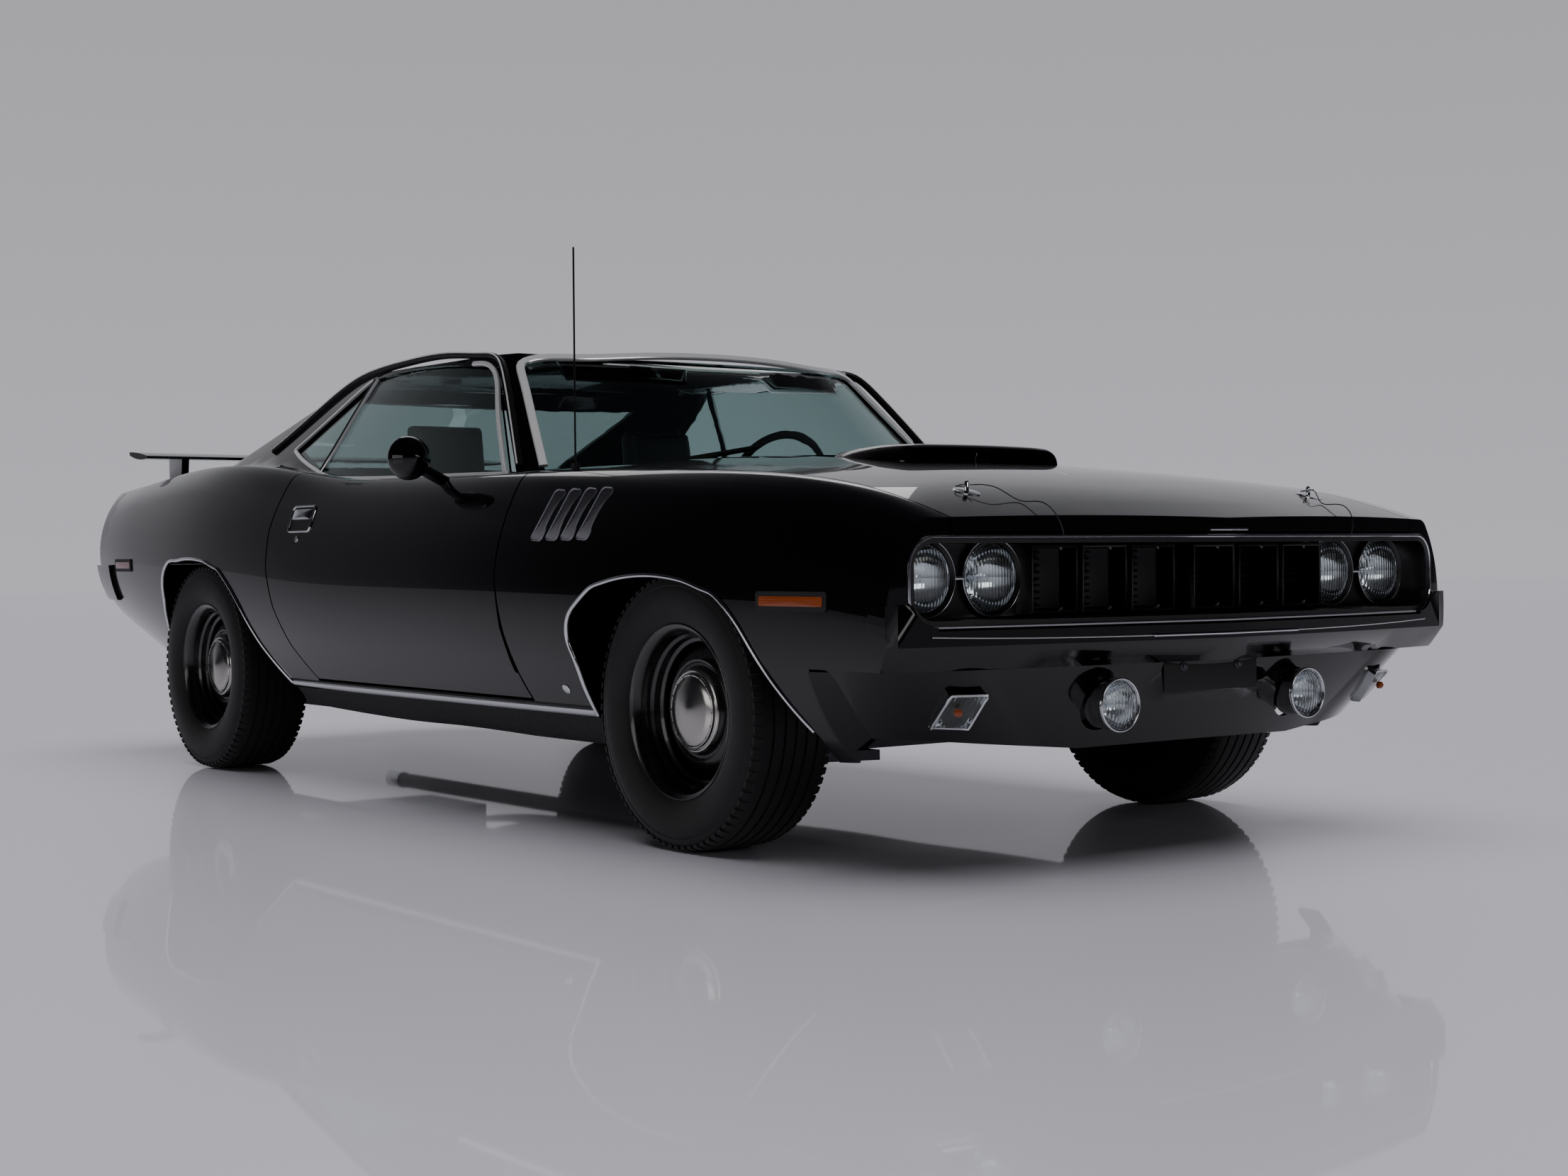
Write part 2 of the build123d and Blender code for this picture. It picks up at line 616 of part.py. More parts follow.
def floor_pan():
    """Cabin floor with its tunnel, the raised floor behind it, the sills and the wheelhouses."""
    front = firewall_x - seat_gap
    tunnel_in = band(-900, 900, 100, 0, 412)
    cabin_floor = band(-600, front, 700, sill_low, sill_low + floor_t) + band(-600, front, 120, sill_low, 432)
    riser = band(-620, -600, 700, sill_low, trunk_z + floor_t)
    shape = (cabin_floor + riser) - tunnel_in + band(-2270, -600, 600, trunk_z, trunk_z + floor_t)
    sill = outer & right(-658, 1104, 700, sill_low, sill_top)
    sill = sill - rod((front_axle_x, -king_y, 100), (front_axle_x, -king_y, 400), tyre_sweep_r)
    house_side = block(-1700, -860, -628, -600, trunk_z, 700)
    house_top = block(-1700, -860, -far, -600, 694, 712) & seat
    house_wall = [(-860.3, 694), (-860.3, 534), (-842, 512), (-775, 426), (-699, 341), (-662, 299)]
    house_t = 14
    house_front = prism("xz", house_wall + [(x - house_t, z) for x, z in reversed(house_wall)], -far, -600) & seat
    frame_rail = block(-2250, -860, -600, -540, 385, trunk_z)
    pads = None
    for x in jack_pad_x:
        pad = block(x - 45, x + 45, -650, -590, sill_low - pad_t, sill_low)
        pads = pad if pads is None else pads + pad
    return shape + both(sill + house_side + house_top + house_front + frame_rail + pads)


parts["engine_bay"] = engine_bay()
parts["cowl"] = cowl()
parts["rear_deck"] = rear_deck()
parts["floor_pan"] = floor_pan()
print("structure ready")

# Engine, gearbox and scoop
parts["engine"] = band(engine_rear_x, engine_front_x, engine_half, 330, engine_top)
parts["gearbox"] = rod((150, 0, 300), (870, 0, 345), 60) - parts["engine"]


def shaker_scoop():
    """The scoop on the engine's air cleaner: two openings ahead, falling away to the rear."""
    foot = engine_top + seat_gap
    shape = prism("xz", [(scoop_rear_x, foot), (scoop_front_x, foot), (scoop_front_x, 905), (scoop_front_x - 30, 948),
                         (scoop_front_x - 150, scoop_top), (scoop_rear_x + 190, 958, "arc"), (scoop_rear_x, 925)],
                  -scoop_half, scoop_half)
    taper = prism("xy", [(scoop_rear_x - 1, -150), (scoop_rear_x + 140, -scoop_half + 6), (scoop_front_x + 1, -scoop_half),
                         (scoop_front_x + 1, scoop_half), (scoop_rear_x + 140, scoop_half - 6), (scoop_rear_x - 1, 150)],
                  foot, far)
    return (shape & taper) - both(block(scoop_front_x - 120, far, -232, -26, 906, 942))


parts["shaker_scoop"] = shaker_scoop()


# Cabin
def front_seat():
    """A high-backed bucket seat on its base."""
    base = prism("xz", [(-420, sill_low + floor_t + seat_gap), (70, sill_low + floor_t + seat_gap), (130, 420),
                        (120, 468), (-100, 478, "arc"), (-380, 440), (-430, 420)], -640, -150)
    back = prism("xz", [(-430, 400), (-310, 430), (-375, 720, "arc"), (-440, 1000), (-470, 1030, "arc"), (-510, 1010),
                        (-480, 700, "arc")], -630, -160)
    shoulders = prism("yz", [(-640, 300), (-640, 760), (-560, 860), (-530, 1010), (-395, 1045, "arc"), (-260, 1010),
                             (-230, 860), (-150, 760), (-150, 300)], -far, far)
    return base + (back & shoulders)


def rear_seat():
    floor = trunk_z + floor_t + seat_gap
    bench = prism("xz", [(-1000, floor), (-600, floor), (-585, 520), (-640, 560), (-900, 545, "arc"), (-1000, 520)],
                  -560, 560)
    back = prism("xz", [(-1060, floor), (-930, floor), (-960, 700, "arc"), (-1060, 900), (-1110, 905), (-1150, 880)],
                 -560, 560)
    return bench + back


parts["front_seats"] = both(front_seat())
parts["rear_seat"] = rear_seat()
column_low, column_high = Vector(690, 370, 720), Vector(262, 370, 862)
wheel_dir = (column_high - column_low).normalized()
parts["steering_column"] = rod(column_low, column_high, 22)
dash = prism("xy", [(470, -door_inner_y + 6), (600, -door_inner_y + 6), (795, 0, "arc"), (600, door_inner_y - 6),
                    (470, door_inner_y - 6)], 700, cowl_low)
dash_hole = rod((column_low - wheel_dir * 60), column_high, 22 + seat_gap)
parts["dashboard"] = dash - dash_hole


def steering_wheel():
    ring_r, ring_t, rise = 185, 12, 60
    ring = Solid.make_torus(ring_r, ring_t, Plane(origin=column_high + wheel_dir * rise, z_dir=wheel_dir))
    core = Solid.make_cylinder(40, rise, Plane(origin=column_high + wheel_dir * seat_gap, z_dir=wheel_dir))
    arms = Plane(origin=column_high + wheel_dir * (rise - 10), z_dir=wheel_dir, x_dir=(0, 1, 0))
    bar = Solid.make_box(2 * ring_r, 30, 10, arms).moved(Location(arms.x_dir * -ring_r - arms.y_dir * 15))
    return ring + core + bar


parts["steering_wheel"] = steering_wheel()
print("cabin ready")


# Wheels and running gear
def turned(x, z, profile):
    """A ring about a wheel's axis; the profile's points are (y, radius)."""
    face = Face(Wire.make_polygon([(x, -y, z + r) for y, r in profile], close=True))
    return Solid.revolve(face, 360, Axis((x, 0, z), (0, 1, 0)))


def tyre(x, r, middle):
    h = tyre_width / 2
    profile = [(middle - h + 14, rim_r), (middle - h, r - 75), (middle - h + 8, r - 35), (middle - h + 26, r - 6),
               (middle - h + 60, r), (middle + h - 60, r), (middle + h - 26, r - 6), (middle + h - 8, r - 35),
               (middle + h, r - 75), (middle + h - 14, rim_r)]
    return turned(x, r, profile)


spindle_r, spindle_reach = 32, 60


def wheel(x, r, middle):
    """A stepped steel rim with its disc and the small hub cap, bored for the spindle."""
    h = rim_width / 2
    bore = spindle_r + seat_gap
    profile = [(middle - h, rim_r - seat_gap), (middle + h, rim_r - seat_gap), (middle + h, rim_r - 12),
               (middle + h - 14, rim_r - 22), (middle + h - 50, rim_r - 30), (middle + 26, 118), (middle + 38, 104),
               (middle + 52, 98), (middle + 58, 84), (middle + 68, bore), (middle + 8, bore), (middle + 8, 90),
               (middle + 16, rim_r - 40), (middle - h + 20, rim_r - 14), (middle - h, rim_r - 14)]
    return turned(x, r, profile)


for name, x, r, track in (("front", front_axle_x, front_tyre_r, front_track),
                          ("rear", rear_axle_x, rear_tyre_r, rear_track)):
    pair(name + "_tyre", tyre(x, r, track / 2))
    pair(name + "_wheel", wheel(x, r, track / 2))

ball_low, ball_high = 216, 430


def knuckle():
    x, z = front_axle_x, front_tyre_r
    post = rod((x, -king_y, ball_low), (x, -king_y, ball_high), 20)
    drum = cross_rod(x, z, 664, 690, 100)
    spindle = cross_rod(x, z, 664, front_track / 2 + spindle_reach, spindle_r)
    arm = block(x - 150, x, -650, -630, 300, 320) + block(x - 20, x + 20, -670, -630, 296, 350)
    return post + drum + spindle + arm


def front_suspension():
    x = front_axle_x
    low_top, up_low = ball_low - seat_gap, ball_high + seat_gap
    lower = prism("xy", [(x - 25, -king_y - 20), (x + 25, -king_y - 20), (x + 120, -350), (x - 120, -350)],
                  low_top - 25, low_top)
    upper = prism("xy", [(x - 20, -king_y - 16), (x + 20, -king_y - 16), (x + 80, -apron_y - 15),
                         (x - 80, -apron_y - 15)], up_low, up_low + 20)
    member = band(x - 70, x + 70, 400, low_top - 1, 320 - seat_gap) + band(x - 70, x + 70, 200, 319, 330 - seat_gap)
    return both(lower + upper) + member


def rear_axle():
    """The axle tube with its differential and drums, and the leaf springs under it."""
    x, z = rear_axle_x, rear_tyre_r
    tube = rod((x, -640, z), (x, 640, z), 38) + Solid.make_sphere(79, Plane(origin=(x, 0, z)))
    hub = cross_rod(x, z, 630, 672, 130) + cross_rod(x, z, 660, rear_track / 2 + spindle_reach, spindle_r)
    leaf = prism("xz", [(-640, 300), (x, 270, "arc"), (-1960, 330), (-1960, 350), (x, 298, "arc"), (-640, 322)],
                 -500, -440)
    hangers = (block(-670, -640, -500, -440, 300, trunk_z - seat_gap)
               + block(-1960, -1930, -500, -440, 332, trunk_z - seat_gap))
    return tube + both(hub + leaf + hangers)


def exhaust():
    z = sill_low - pipe_r - seat_gap
    pipe = rod((900, -pipe_y, z), (-2320, -pipe_y, z), pipe_r)
    down = rod((880, -pipe_y, z), (980, -240, 420), pipe_r - 2) - parts["engine"]
    return both(pipe + down)


pair("knuckle", knuckle())
parts["front_suspension"] = front_suspension()
parts["rear_axle"] = rear_axle()
parts["driveshaft"] = rod((160, 0, 300), (-1240, 0, 334), 35) - parts["gearbox"] - parts["rear_axle"]
parts["fuel_tank"] = block(-2150, -1700, -400, 400, 250, trunk_z - seat_gap)
parts["exhaust"] = exhaust()
print(len(parts), "pieces")

os.makedirs("parts", exist_ok=True)
for name, shape in parts.items():
    export_step(shape, "parts/" + name + ".step")
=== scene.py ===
# Two-door muscle car in gloss black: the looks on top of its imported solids.
# Metres, +X forward, +Y left, +Z up.
import json
import math

import bmesh
import bpy
import numpy as np
from mathutils import Matrix, Vector

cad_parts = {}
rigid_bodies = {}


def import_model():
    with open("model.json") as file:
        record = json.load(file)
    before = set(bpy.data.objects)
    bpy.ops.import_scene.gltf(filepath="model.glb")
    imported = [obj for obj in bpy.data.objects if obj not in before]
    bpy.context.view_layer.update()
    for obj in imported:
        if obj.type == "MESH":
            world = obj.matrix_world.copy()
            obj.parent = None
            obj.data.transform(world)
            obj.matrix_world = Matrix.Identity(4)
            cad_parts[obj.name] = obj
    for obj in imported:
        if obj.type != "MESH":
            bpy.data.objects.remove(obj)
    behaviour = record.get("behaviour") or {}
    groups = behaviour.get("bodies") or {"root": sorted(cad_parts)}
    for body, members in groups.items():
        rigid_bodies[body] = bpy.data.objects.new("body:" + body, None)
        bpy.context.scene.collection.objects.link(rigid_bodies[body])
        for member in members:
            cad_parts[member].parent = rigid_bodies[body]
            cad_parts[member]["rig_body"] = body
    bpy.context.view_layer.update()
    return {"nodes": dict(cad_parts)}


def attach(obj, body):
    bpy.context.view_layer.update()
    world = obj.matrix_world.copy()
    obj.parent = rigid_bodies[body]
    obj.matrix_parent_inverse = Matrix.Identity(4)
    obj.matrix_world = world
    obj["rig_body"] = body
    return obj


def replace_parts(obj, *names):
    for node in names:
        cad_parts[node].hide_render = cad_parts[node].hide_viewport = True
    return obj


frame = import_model()
nodes = frame["nodes"]
print("frame loaded:", len(nodes), "nodes")

# ---- the body's form, from the same stations as the solids ----
# x, sill y, sill z, widest y, widest z, shoulder y, shoulder z, crown z, in millimetres
bodyForm = {
    "shoulderRound": 0.042,
    "shadeRound": 0.150,
    "noseCorner": (2.262, 0.880),
    "noseX": 2.370,
    "stations": [
        (-2460, 690, 470, 835, 715, 755, 924, 938), (-2150, 725, 405, 875, 708, 785, 950, 966),
        (-1750, 765, 335, 912, 700, 818, 974, 992), (-1250, 790, 280, 941, 690, 846, 994, 1012),
        (-850, 797, 252, 949, 668, 858, 972, 993), (-480, 800, 236, 951, 645, 862, 935, 958),
        (100, 800, 225, 951, 625, 864, 911, 940), (700, 798, 222, 950, 616, 860, 903, 953),
        (1250, 790, 223, 940, 618, 850, 888, 944), (1700, 772, 230, 922, 620, 838, 868, 904),
        (2020, 758, 240, 905, 620, 828, 828, 860), (2240, 748, 262, 892, 618, 820, 772, 806),
        (2460, 735, 300, 875, 615, 812, 706, 732)],
}
stationTable = np.array(bodyForm["stations"], float) / 1000.0


def splineThrough(knots, values):
    # second derivatives of the smooth curve through the stations
    n = len(knots)
    h = np.diff(knots)
    a = np.zeros((n, n))
    b = np.zeros((n, values.shape[1]))
    a[0, 0] = a[-1, -1] = 1.0
    for i in range(1, n - 1):
        a[i, i - 1], a[i, i], a[i, i + 1] = h[i - 1], 2 * (h[i - 1] + h[i]), h[i]
        b[i] = 6 * ((values[i + 1] - values[i]) / h[i] - (values[i] - values[i - 1]) / h[i - 1])
    return np.linalg.solve(a, b)


bends = splineThrough(stationTable[:, 0], stationTable[:, 1:])


def splineAt(knots, values, second, x):
    # the smooth curve's values at x
    i = np.clip(np.searchsorted(knots, x) - 1, 0, len(knots) - 2)
    h = knots[i + 1] - knots[i]
    a = ((knots[i + 1] - x) / h)[:, None]
    b = 1 - a
    hh = (h * h / 6)[:, None]
    return a * values[i] + b * values[i + 1] + ((a ** 3 - a) * second[i] + (b ** 3 - b) * second[i + 1]) * hh


def sectionAt(x):
    # the section's seven sizes at x
    x = np.atleast_1d(np.asarray(x, float))
    return splineAt(stationTable[:, 0], stationTable[:, 1:], bends, x)


def circleThrough(ax, ay, bx, by, cx, cy):
    d = 2 * (ax * (by - cy) + bx * (cy - ay) + cx * (ay - by))
    a2, b2, c2 = ax * ax + ay * ay, bx * bx + by * by, cx * cx + cy * cy
    ux = (a2 * (by - cy) + b2 * (cy - ay) + c2 * (ay - by)) / d
    uy = (a2 * (cx - bx) + b2 * (ax - cx) + c2 * (bx - ax)) / d
    return ux, uy, np.hypot(ax - ux, ay - uy)


def arcThrough(a, b, c):
    # centre, radius, first angle and turn of the arc from a over b to c
    cx, cy, r = circleThrough(a[0], a[1], b[0], b[1], c[0], c[1])
    start, middle, end = (math.atan2(p[1] - cy, p[0] - cx) for p in (a, b, c))
    turn = (end - start) % (2 * math.pi)
    if (middle - start) % (2 * math.pi) > turn:
        turn -= 2 * math.pi
    return cx, cy, r, start, turn


def unit(v):
    # a vector, or rows of them, at length 1
    v = np.asarray(v, float)
    return v / np.linalg.norm(v, axis=-1, keepdims=True)


def bodyDistance(p, r=bodyForm["shoulderRound"]):
    # how far points lie outside the body's skin, below zero inside; r rounds the shoulder
    p = np.atleast_2d(np.asarray(p, float))
    y, z = np.abs(p[:, 1]), p[:, 2]
    s = sectionAt(p[:, 0])
    sideY, sideZ, sideR = circleThrough(s[:, 0], s[:, 1], s[:, 2], s[:, 3], s[:, 4], s[:, 5])
    topY, topZ, topR = circleThrough(s[:, 4], s[:, 5], 0 * y, s[:, 6], -s[:, 4], s[:, 5])
    dSide = np.hypot(y - sideY, z - sideZ) - sideR
    dTop = np.hypot(y - topY, z - topZ) - topR
    # centre of the rounding: where the two arcs, moved in by its radius, cross
    ra, rb = sideR - r, topR - r
    dx, dz = topY - sideY, topZ - sideZ
    span = np.hypot(dx, dz)
    along = (ra ** 2 - rb ** 2 + span ** 2) / (2 * span)
    off = np.sqrt(np.maximum(ra ** 2 - along ** 2, 0))
    cy1, cz1 = sideY + (along * dx - off * dz) / span, sideZ + (along * dz + off * dx) / span
    cy2, cz2 = sideY + (along * dx + off * dz) / span, sideZ + (along * dz - off * dx) / span
    use = cy1 > cy2
    cy, cz = np.where(use, cy1, cy2), np.where(use, cz1, cz2)
    n1y, n1z = cy - sideY, cz - sideZ
    n2y, n2z = cy - topY, cz - topZ
    vy, vz = y - cy, z - cz
    inRound = (n1y * vz - n1z * vy > 0) & (vy * n2z - vz * n2y > 0)
    return np.where(inRound, np.hypot(vy, vz) - r, np.maximum(dSide, dTop))


def bodyNormal(p, r=bodyForm["shoulderRound"]):
    p = np.atleast_2d(np.asarray(p, float))
    g = np.zeros_like(p)
    for k, step in ((0, 0.004), (1, 0.0005), (2, 0.0005)):
        e = np.zeros(3)
        e[k] = step
        g[:, k] = (bodyDistance(p + e, r) - bodyDistance(p - e, r)) / (2 * step)
    return unit(g)


def search(low, high, isInside):
    # halves the span between a point inside the body and one outside it
    for _ in range(36):
        middle = (low + high) / 2
        inside = isInside(middle)
        low, high = np.where(inside, middle, low), np.where(inside, high, middle)
    return (low + high) / 2


def onSide(x, z, side=-1):
    # points on the body's side at x and height z
    x, z = np.broadcast_arrays(np.atleast_1d(np.asarray(x, float)), np.atleast_1d(np.asarray(z, float)))
    y = search(np.full(x.shape, 0.3), np.full(x.shape, 1.2),
               lambda v: bodyDistance(np.stack([x, v, z], 1)) < 0)
    return np.stack([x, side * y, z], 1)


def onTop(x, y):
    # points on the hood, deck or fender tops
    x, y = np.broadcast_arrays(np.atleast_1d(np.asarray(x, float)), np.atleast_1d(np.asarray(y, float)))
    z = search(np.full(x.shape, 0.6), np.full(x.shape, 1.3),
               lambda v: bodyDistance(np.stack([x, y, v], 1)) < 0)
    return np.stack([x, y, z], 1)


def noseX(y):
    # the front's plan line: two shallow arcs that meet in a blunt point
    fx, fy = bodyForm["noseCorner"]
    tip = bodyForm["noseX"]
    bx, by = (fx + tip) / 2 + 0.012, fy / 2
    cx, cy, r = circleThrough(fx, fy, bx, by, tip, 0.0)
    y = np.abs(np.asarray(y, float))
    return cx + np.sqrt(np.maximum(r * r - (y - cy) ** 2, 0))


# ---- meshes ----
def addMesh(name, points, faces, smooth=True):
    mesh = bpy.data.meshes.new(name)
    mesh.from_pydata([tuple(map(float, p)) for p in points], [], [tuple(map(int, f)) for f in faces])
    mesh.update()
    bm = bmesh.new()
    bm.from_mesh(mesh)
    bmesh.ops.remove_doubles(bm, verts=bm.verts, dist=1e-6)
    bmesh.ops.recalc_face_normals(bm, faces=bm.faces)
    bm.to_mesh(mesh)
    bm.free()
    mesh.polygons.foreach_set("use_smooth", [smooth] * len(mesh.polygons))
    obj = bpy.data.objects.new(name, mesh)
    bpy.context.scene.collection.objects.link(obj)
    if smooth:
        mesh.set_sharp_from_angle(angle=math.radians(34))
    return obj


def joined(name, pieces):
    # one object from several
    bpy.ops.object.select_all(action="DESELECT")
    for piece in pieces:
        piece.select_set(True)
    bpy.context.view_layer.objects.active = pieces[0]
    if len(pieces) > 1:
        bpy.ops.object.join()
    pieces[0].name = name
    pieces[0].data.name = name
    return pieces[0]


def mirroredCopy(obj, name):
    mesh = obj.data.copy()
    mesh.name = name
    mesh.transform(Matrix.Scale(-1, 4, (0, 1, 0)))
    mesh.flip_normals()
    other = bpy.data.objects.new(name, mesh)
    bpy.context.scene.collection.objects.link(other)
    return other


def finished(obj, material, body, stands=()):
    # the piece gets its material, its body and the solids it stands for
    obj.data.materials.clear()
    obj.data.materials.append(material)
    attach(obj, body)
    if stands:
        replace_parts(obj, *stands)
    return obj


def twice(obj, material, bodies=("chassis", "chassis")):
    # the piece on the right and its mirror image on the left
    name = obj.name
    obj.name = name + "_right"
    left = mirroredCopy(obj, name + "_left")
    finished(obj, material, bodies[0])
    finished(left, material, bodies[1])
    return obj, left


def sweep(name, path, outward, section, closed=False):
    # a section (outward, across) carried along a path; outward is the carrier's normal, one or one per point
    path = np.asarray(path, float)
    outward = np.broadcast_to(np.asarray(outward, float), path.shape)
    n, m = len(path), len(section)
    if closed:
        tangent = np.roll(path, -1, 0) - np.roll(path, 1, 0)
    else:
        tangent = np.gradient(path, axis=0)
    tangent = unit(tangent)
    outward = unit(outward - tangent * (outward * tangent).sum(1)[:, None])
    across = np.cross(tangent, outward)
    points = [path[i] + outward[i] * u + across[i] * v for i in range(n) for u, v in section]
    faces = []
    for i in range(n if closed else n - 1):
        j = (i + 1) % n
        for k in range(m):
            l = (k + 1) % m
            faces.append((i * m + k, i * m + l, j * m + l, j * m + k))
    if not closed:
        faces.append(tuple(range(m)))
        faces.append(tuple((n - 1) * m + k for k in range(m)))
    return addMesh(name, points, faces)


def thickSheet(name, front, back, rows, columns):
    # a closed sheet between two grids of points, each with rows by columns of quads
    n, layer = columns + 1, len(front)
    quads = [(i * n + j, i * n + j + 1, (i + 1) * n + j + 1, (i + 1) * n + j)
             for i in range(rows) for j in range(columns)]
    rim = [i * n for i in range(rows)] + [rows * n + j for j in range(columns)]
    rim += [i * n + columns for i in range(rows, 0, -1)] + list(range(columns, 0, -1))
    faces = quads + [(layer + a, layer + d, layer + c, layer + b) for a, b, c, d in quads]
    faces += [(p, q, layer + q, layer + p) for p, q in zip(rim, rim[1:] + rim[:1])]
    return addMesh(name, list(front) + list(back), faces)


def halfRound(width, height, steps=8, sink=0.002):
    # a moulding's section: a low dome that is sunk a little into its carrier
    arc = [(height * math.sin(math.pi * k / steps), width / 2 * math.cos(math.pi * k / steps))
           for k in range(steps + 1)]
    return [(-sink, width / 2)] + arc + [(-sink, -width / 2)]


def roundBar(radius, steps=10):
    return [(radius * math.cos(2 * math.pi * k / steps), radius * math.sin(2 * math.pi * k / steps))
            for k in range(steps)]


def smoothPath(points, count, closed=False):
    # an even run of points on the smooth curve through the given ones
    p = np.asarray(points, float)
    if closed:
        p = np.vstack([p[-2:], p, p[:3]])
    length = np.concatenate([[0], np.cumsum(np.linalg.norm(np.diff(p, axis=0), axis=1))])
    second = splineThrough(length, p)
    start, end = (length[2], length[-3]) if closed else (0, length[-1])
    t = np.linspace(start, end, count, endpoint=not closed)
    return splineAt(length, p, second, t)


def spun(name, profile, centre, axis, steps=64, sharp=34):
    # a turned piece: profile points are (distance along the axis, radius)
    axis = unit(axis)
    u = unit(np.cross(axis, (0, 0, 1) if abs(axis[2]) < 0.9 else (1, 0, 0)))
    v = np.cross(axis, u)
    points, faces, m = [], [], len(profile)
    for i in range(steps):
        a = 2 * math.pi * i / steps
        ray = u * math.cos(a) + v * math.sin(a)
        points += [np.asarray(centre) + axis * d + ray * r for d, r in profile]
    for i in range(steps):
        j = (i + 1) % steps
        for k in range(m - 1):
            faces.append((i * m + k, i * m + k + 1, j * m + k + 1, j * m + k))
    obj = addMesh(name, points, faces)
    obj.data.set_sharp_from_angle(angle=math.radians(sharp))
    return obj


def slab(name, low, high, edge=0.0, steps=3):
    # a block with rounded edges
    lo, hi = np.asarray(low, float), np.asarray(high, float)
    corners = [(x, y, z) for x in (lo[0], hi[0]) for y in (lo[1], hi[1]) for z in (lo[2], hi[2])]
    faces = [(0, 1, 3, 2), (4, 6, 7, 5), (0, 4, 5, 1), (2, 3, 7, 6), (0, 2, 6, 4), (1, 5, 7, 3)]
    obj = addMesh(name, corners, faces)
    if edge:
        bevelled(obj, edge, steps)
    return obj


def bevelled(obj, width, steps=3, angle=30):
    bevel = obj.modifiers.new("edges", "BEVEL")
    bevel.width, bevel.segments, bevel.limit_method = width, steps, "ANGLE"
    bevel.angle_limit = math.radians(angle)
    baked(obj)
    obj.data.polygons.foreach_set("use_smooth", [True] * len(obj.data.polygons))
    obj.data.set_sharp_from_angle(angle=math.radians(40))
    return obj


def baked(obj):
    # the modifiers' result becomes the piece's own mesh
    graph = bpy.context.evaluated_depsgraph_get()
    mesh = bpy.data.meshes.new_from_object(obj.evaluated_get(graph))
    old = obj.data
    obj.modifiers.clear()
    obj.data = mesh
    bpy.data.meshes.remove(old)
    return obj


def readAll(items, key, width, kind=float):
    # one property of every item of a mesh, in rows
    values = np.zeros(len(items) * width, kind)
    items.foreach_get(key, values)
    return values.reshape(-1, width) if width > 1 else values


skinForm = {
    "merge": 2e-5,       # doubles closer than this are one point
    "sharpAngle": 26,
    "nearSkin": 0.0015,  # a corner this close to the body's form lies on it
    "facing": 0.75,      # and its face looks the same way, as a cosine
}


def panelCopy(node):
    # a solid's mesh with its doubles merged; its outer skin is shaded by the body's exact form
    mesh = nodes[node].data.copy()
    bm = bmesh.new()
    bm.from_mesh(mesh)
    bmesh.ops.remove_doubles(bm, verts=bm.verts, dist=skinForm["merge"])
    bm.to_mesh(mesh)
    bm.free()
    mesh.name = node + "_skin"
    mesh.materials.clear()
    mesh.polygons.foreach_set("use_smooth", [True] * len(mesh.polygons))
    mesh.set_sharp_from_angle(angle=math.radians(skinForm["sharpAngle"]))
    obj = bpy.data.objects.new(mesh.name, mesh)
    bpy.context.scene.collection.objects.link(obj)
    normals = readAll(mesh.corner_normals, "vector", 3)
    places = readAll(mesh.vertices, "co", 3)
    corner = readAll(mesh.loops, "vertex_index", 1, int)
    faceOf = np.repeat(np.arange(len(mesh.polygons)), [p.loop_total for p in mesh.polygons])
    faceNormal = np.array([p.normal[:] for p in mesh.polygons])
    exact = bodyNormal(places, bodyForm["shadeRound"])[corner]
    near = np.abs(bodyDistance(places))[corner] < skinForm["nearSkin"]
    facing = (exact * faceNormal[faceOf]).sum(1) > skinForm["facing"]
    onSkin = np.ones(len(mesh.polygons), bool)
    np.logical_and.at(onSkin, faceOf, near & facing)
    use = onSkin[faceOf]
    normals[use] = exact[use]
    mesh.normals_split_custom_set(normals.tolist())
    return obj


# ---- materials ----
def colour(code):
    # an sRGB hex colour as linear numbers
    parts = [int(code[i:i + 2], 16) / 255 for i in (1, 3, 5)]
    return tuple(c / 12.92 if c <= 0.04045 else ((c + 0.055) / 1.055) ** 2.4 for c in parts) + (1.0,)


def addNode(tree, kind, settings=None, **links):
    # one node with its settings, its sockets' values and its links
    node = tree.nodes.new(kind)
    for key, value in (settings or {}).items():
        if key in node.inputs:
            node.inputs[key].default_value = value
        else:
            setattr(node, key, value)
    for key, source in links.items():
        numbered = key[0] == "i" and key[1:].isdigit()
        target = node.inputs[int(key[1:]) if numbered else key.replace("_", " ")]
        tree.links.new(source, target)
    return node


def newMaterial(name, **sockets):
    material = bpy.data.materials.new(name)
    material.use_nodes = True
    tree = material.node_tree
    shader = tree.nodes["Principled BSDF"]
    for key, value in sockets.items():
        shader.inputs[key.replace("_", " ")].default_value = value
    return material, tree, shader


def objectPoint(tree, scale=(1, 1, 1)):
    place = addNode(tree, "ShaderNodeTexCoord")
    mapping = addNode(tree, "ShaderNodeMapping", {"Scale": scale}, Vector=place.outputs["Object"])
    return mapping.outputs["Vector"]


def roundedEdges(tree, shader, radius, bump=None):
    # a fine radius on every panel edge, as pressed sheet and plating have
    edge = addNode(tree, "ShaderNodeBevel", {"samples": 4, "Radius": radius})
    if bump is not None:
        tree.links.new(edge.outputs["Normal"], bump.inputs["Normal"])
        tree.links.new(bump.outputs["Normal"], shader.inputs["Normal"])
    else:
        tree.links.new(edge.outputs["Normal"], shader.inputs["Normal"])


def surfaceNoise(tree, perMetre, detail=3.0):
    return addNode(tree, "ShaderNodeTexNoise", {"Scale": perMetre, "Detail": detail},
                   Vector=objectPoint(tree)).outputs["Fac"]


def bumpFrom(tree, height, strength, distance):
    return addNode(tree, "ShaderNodeBump", {"Strength": strength, "Distance": distance}, Height=height)


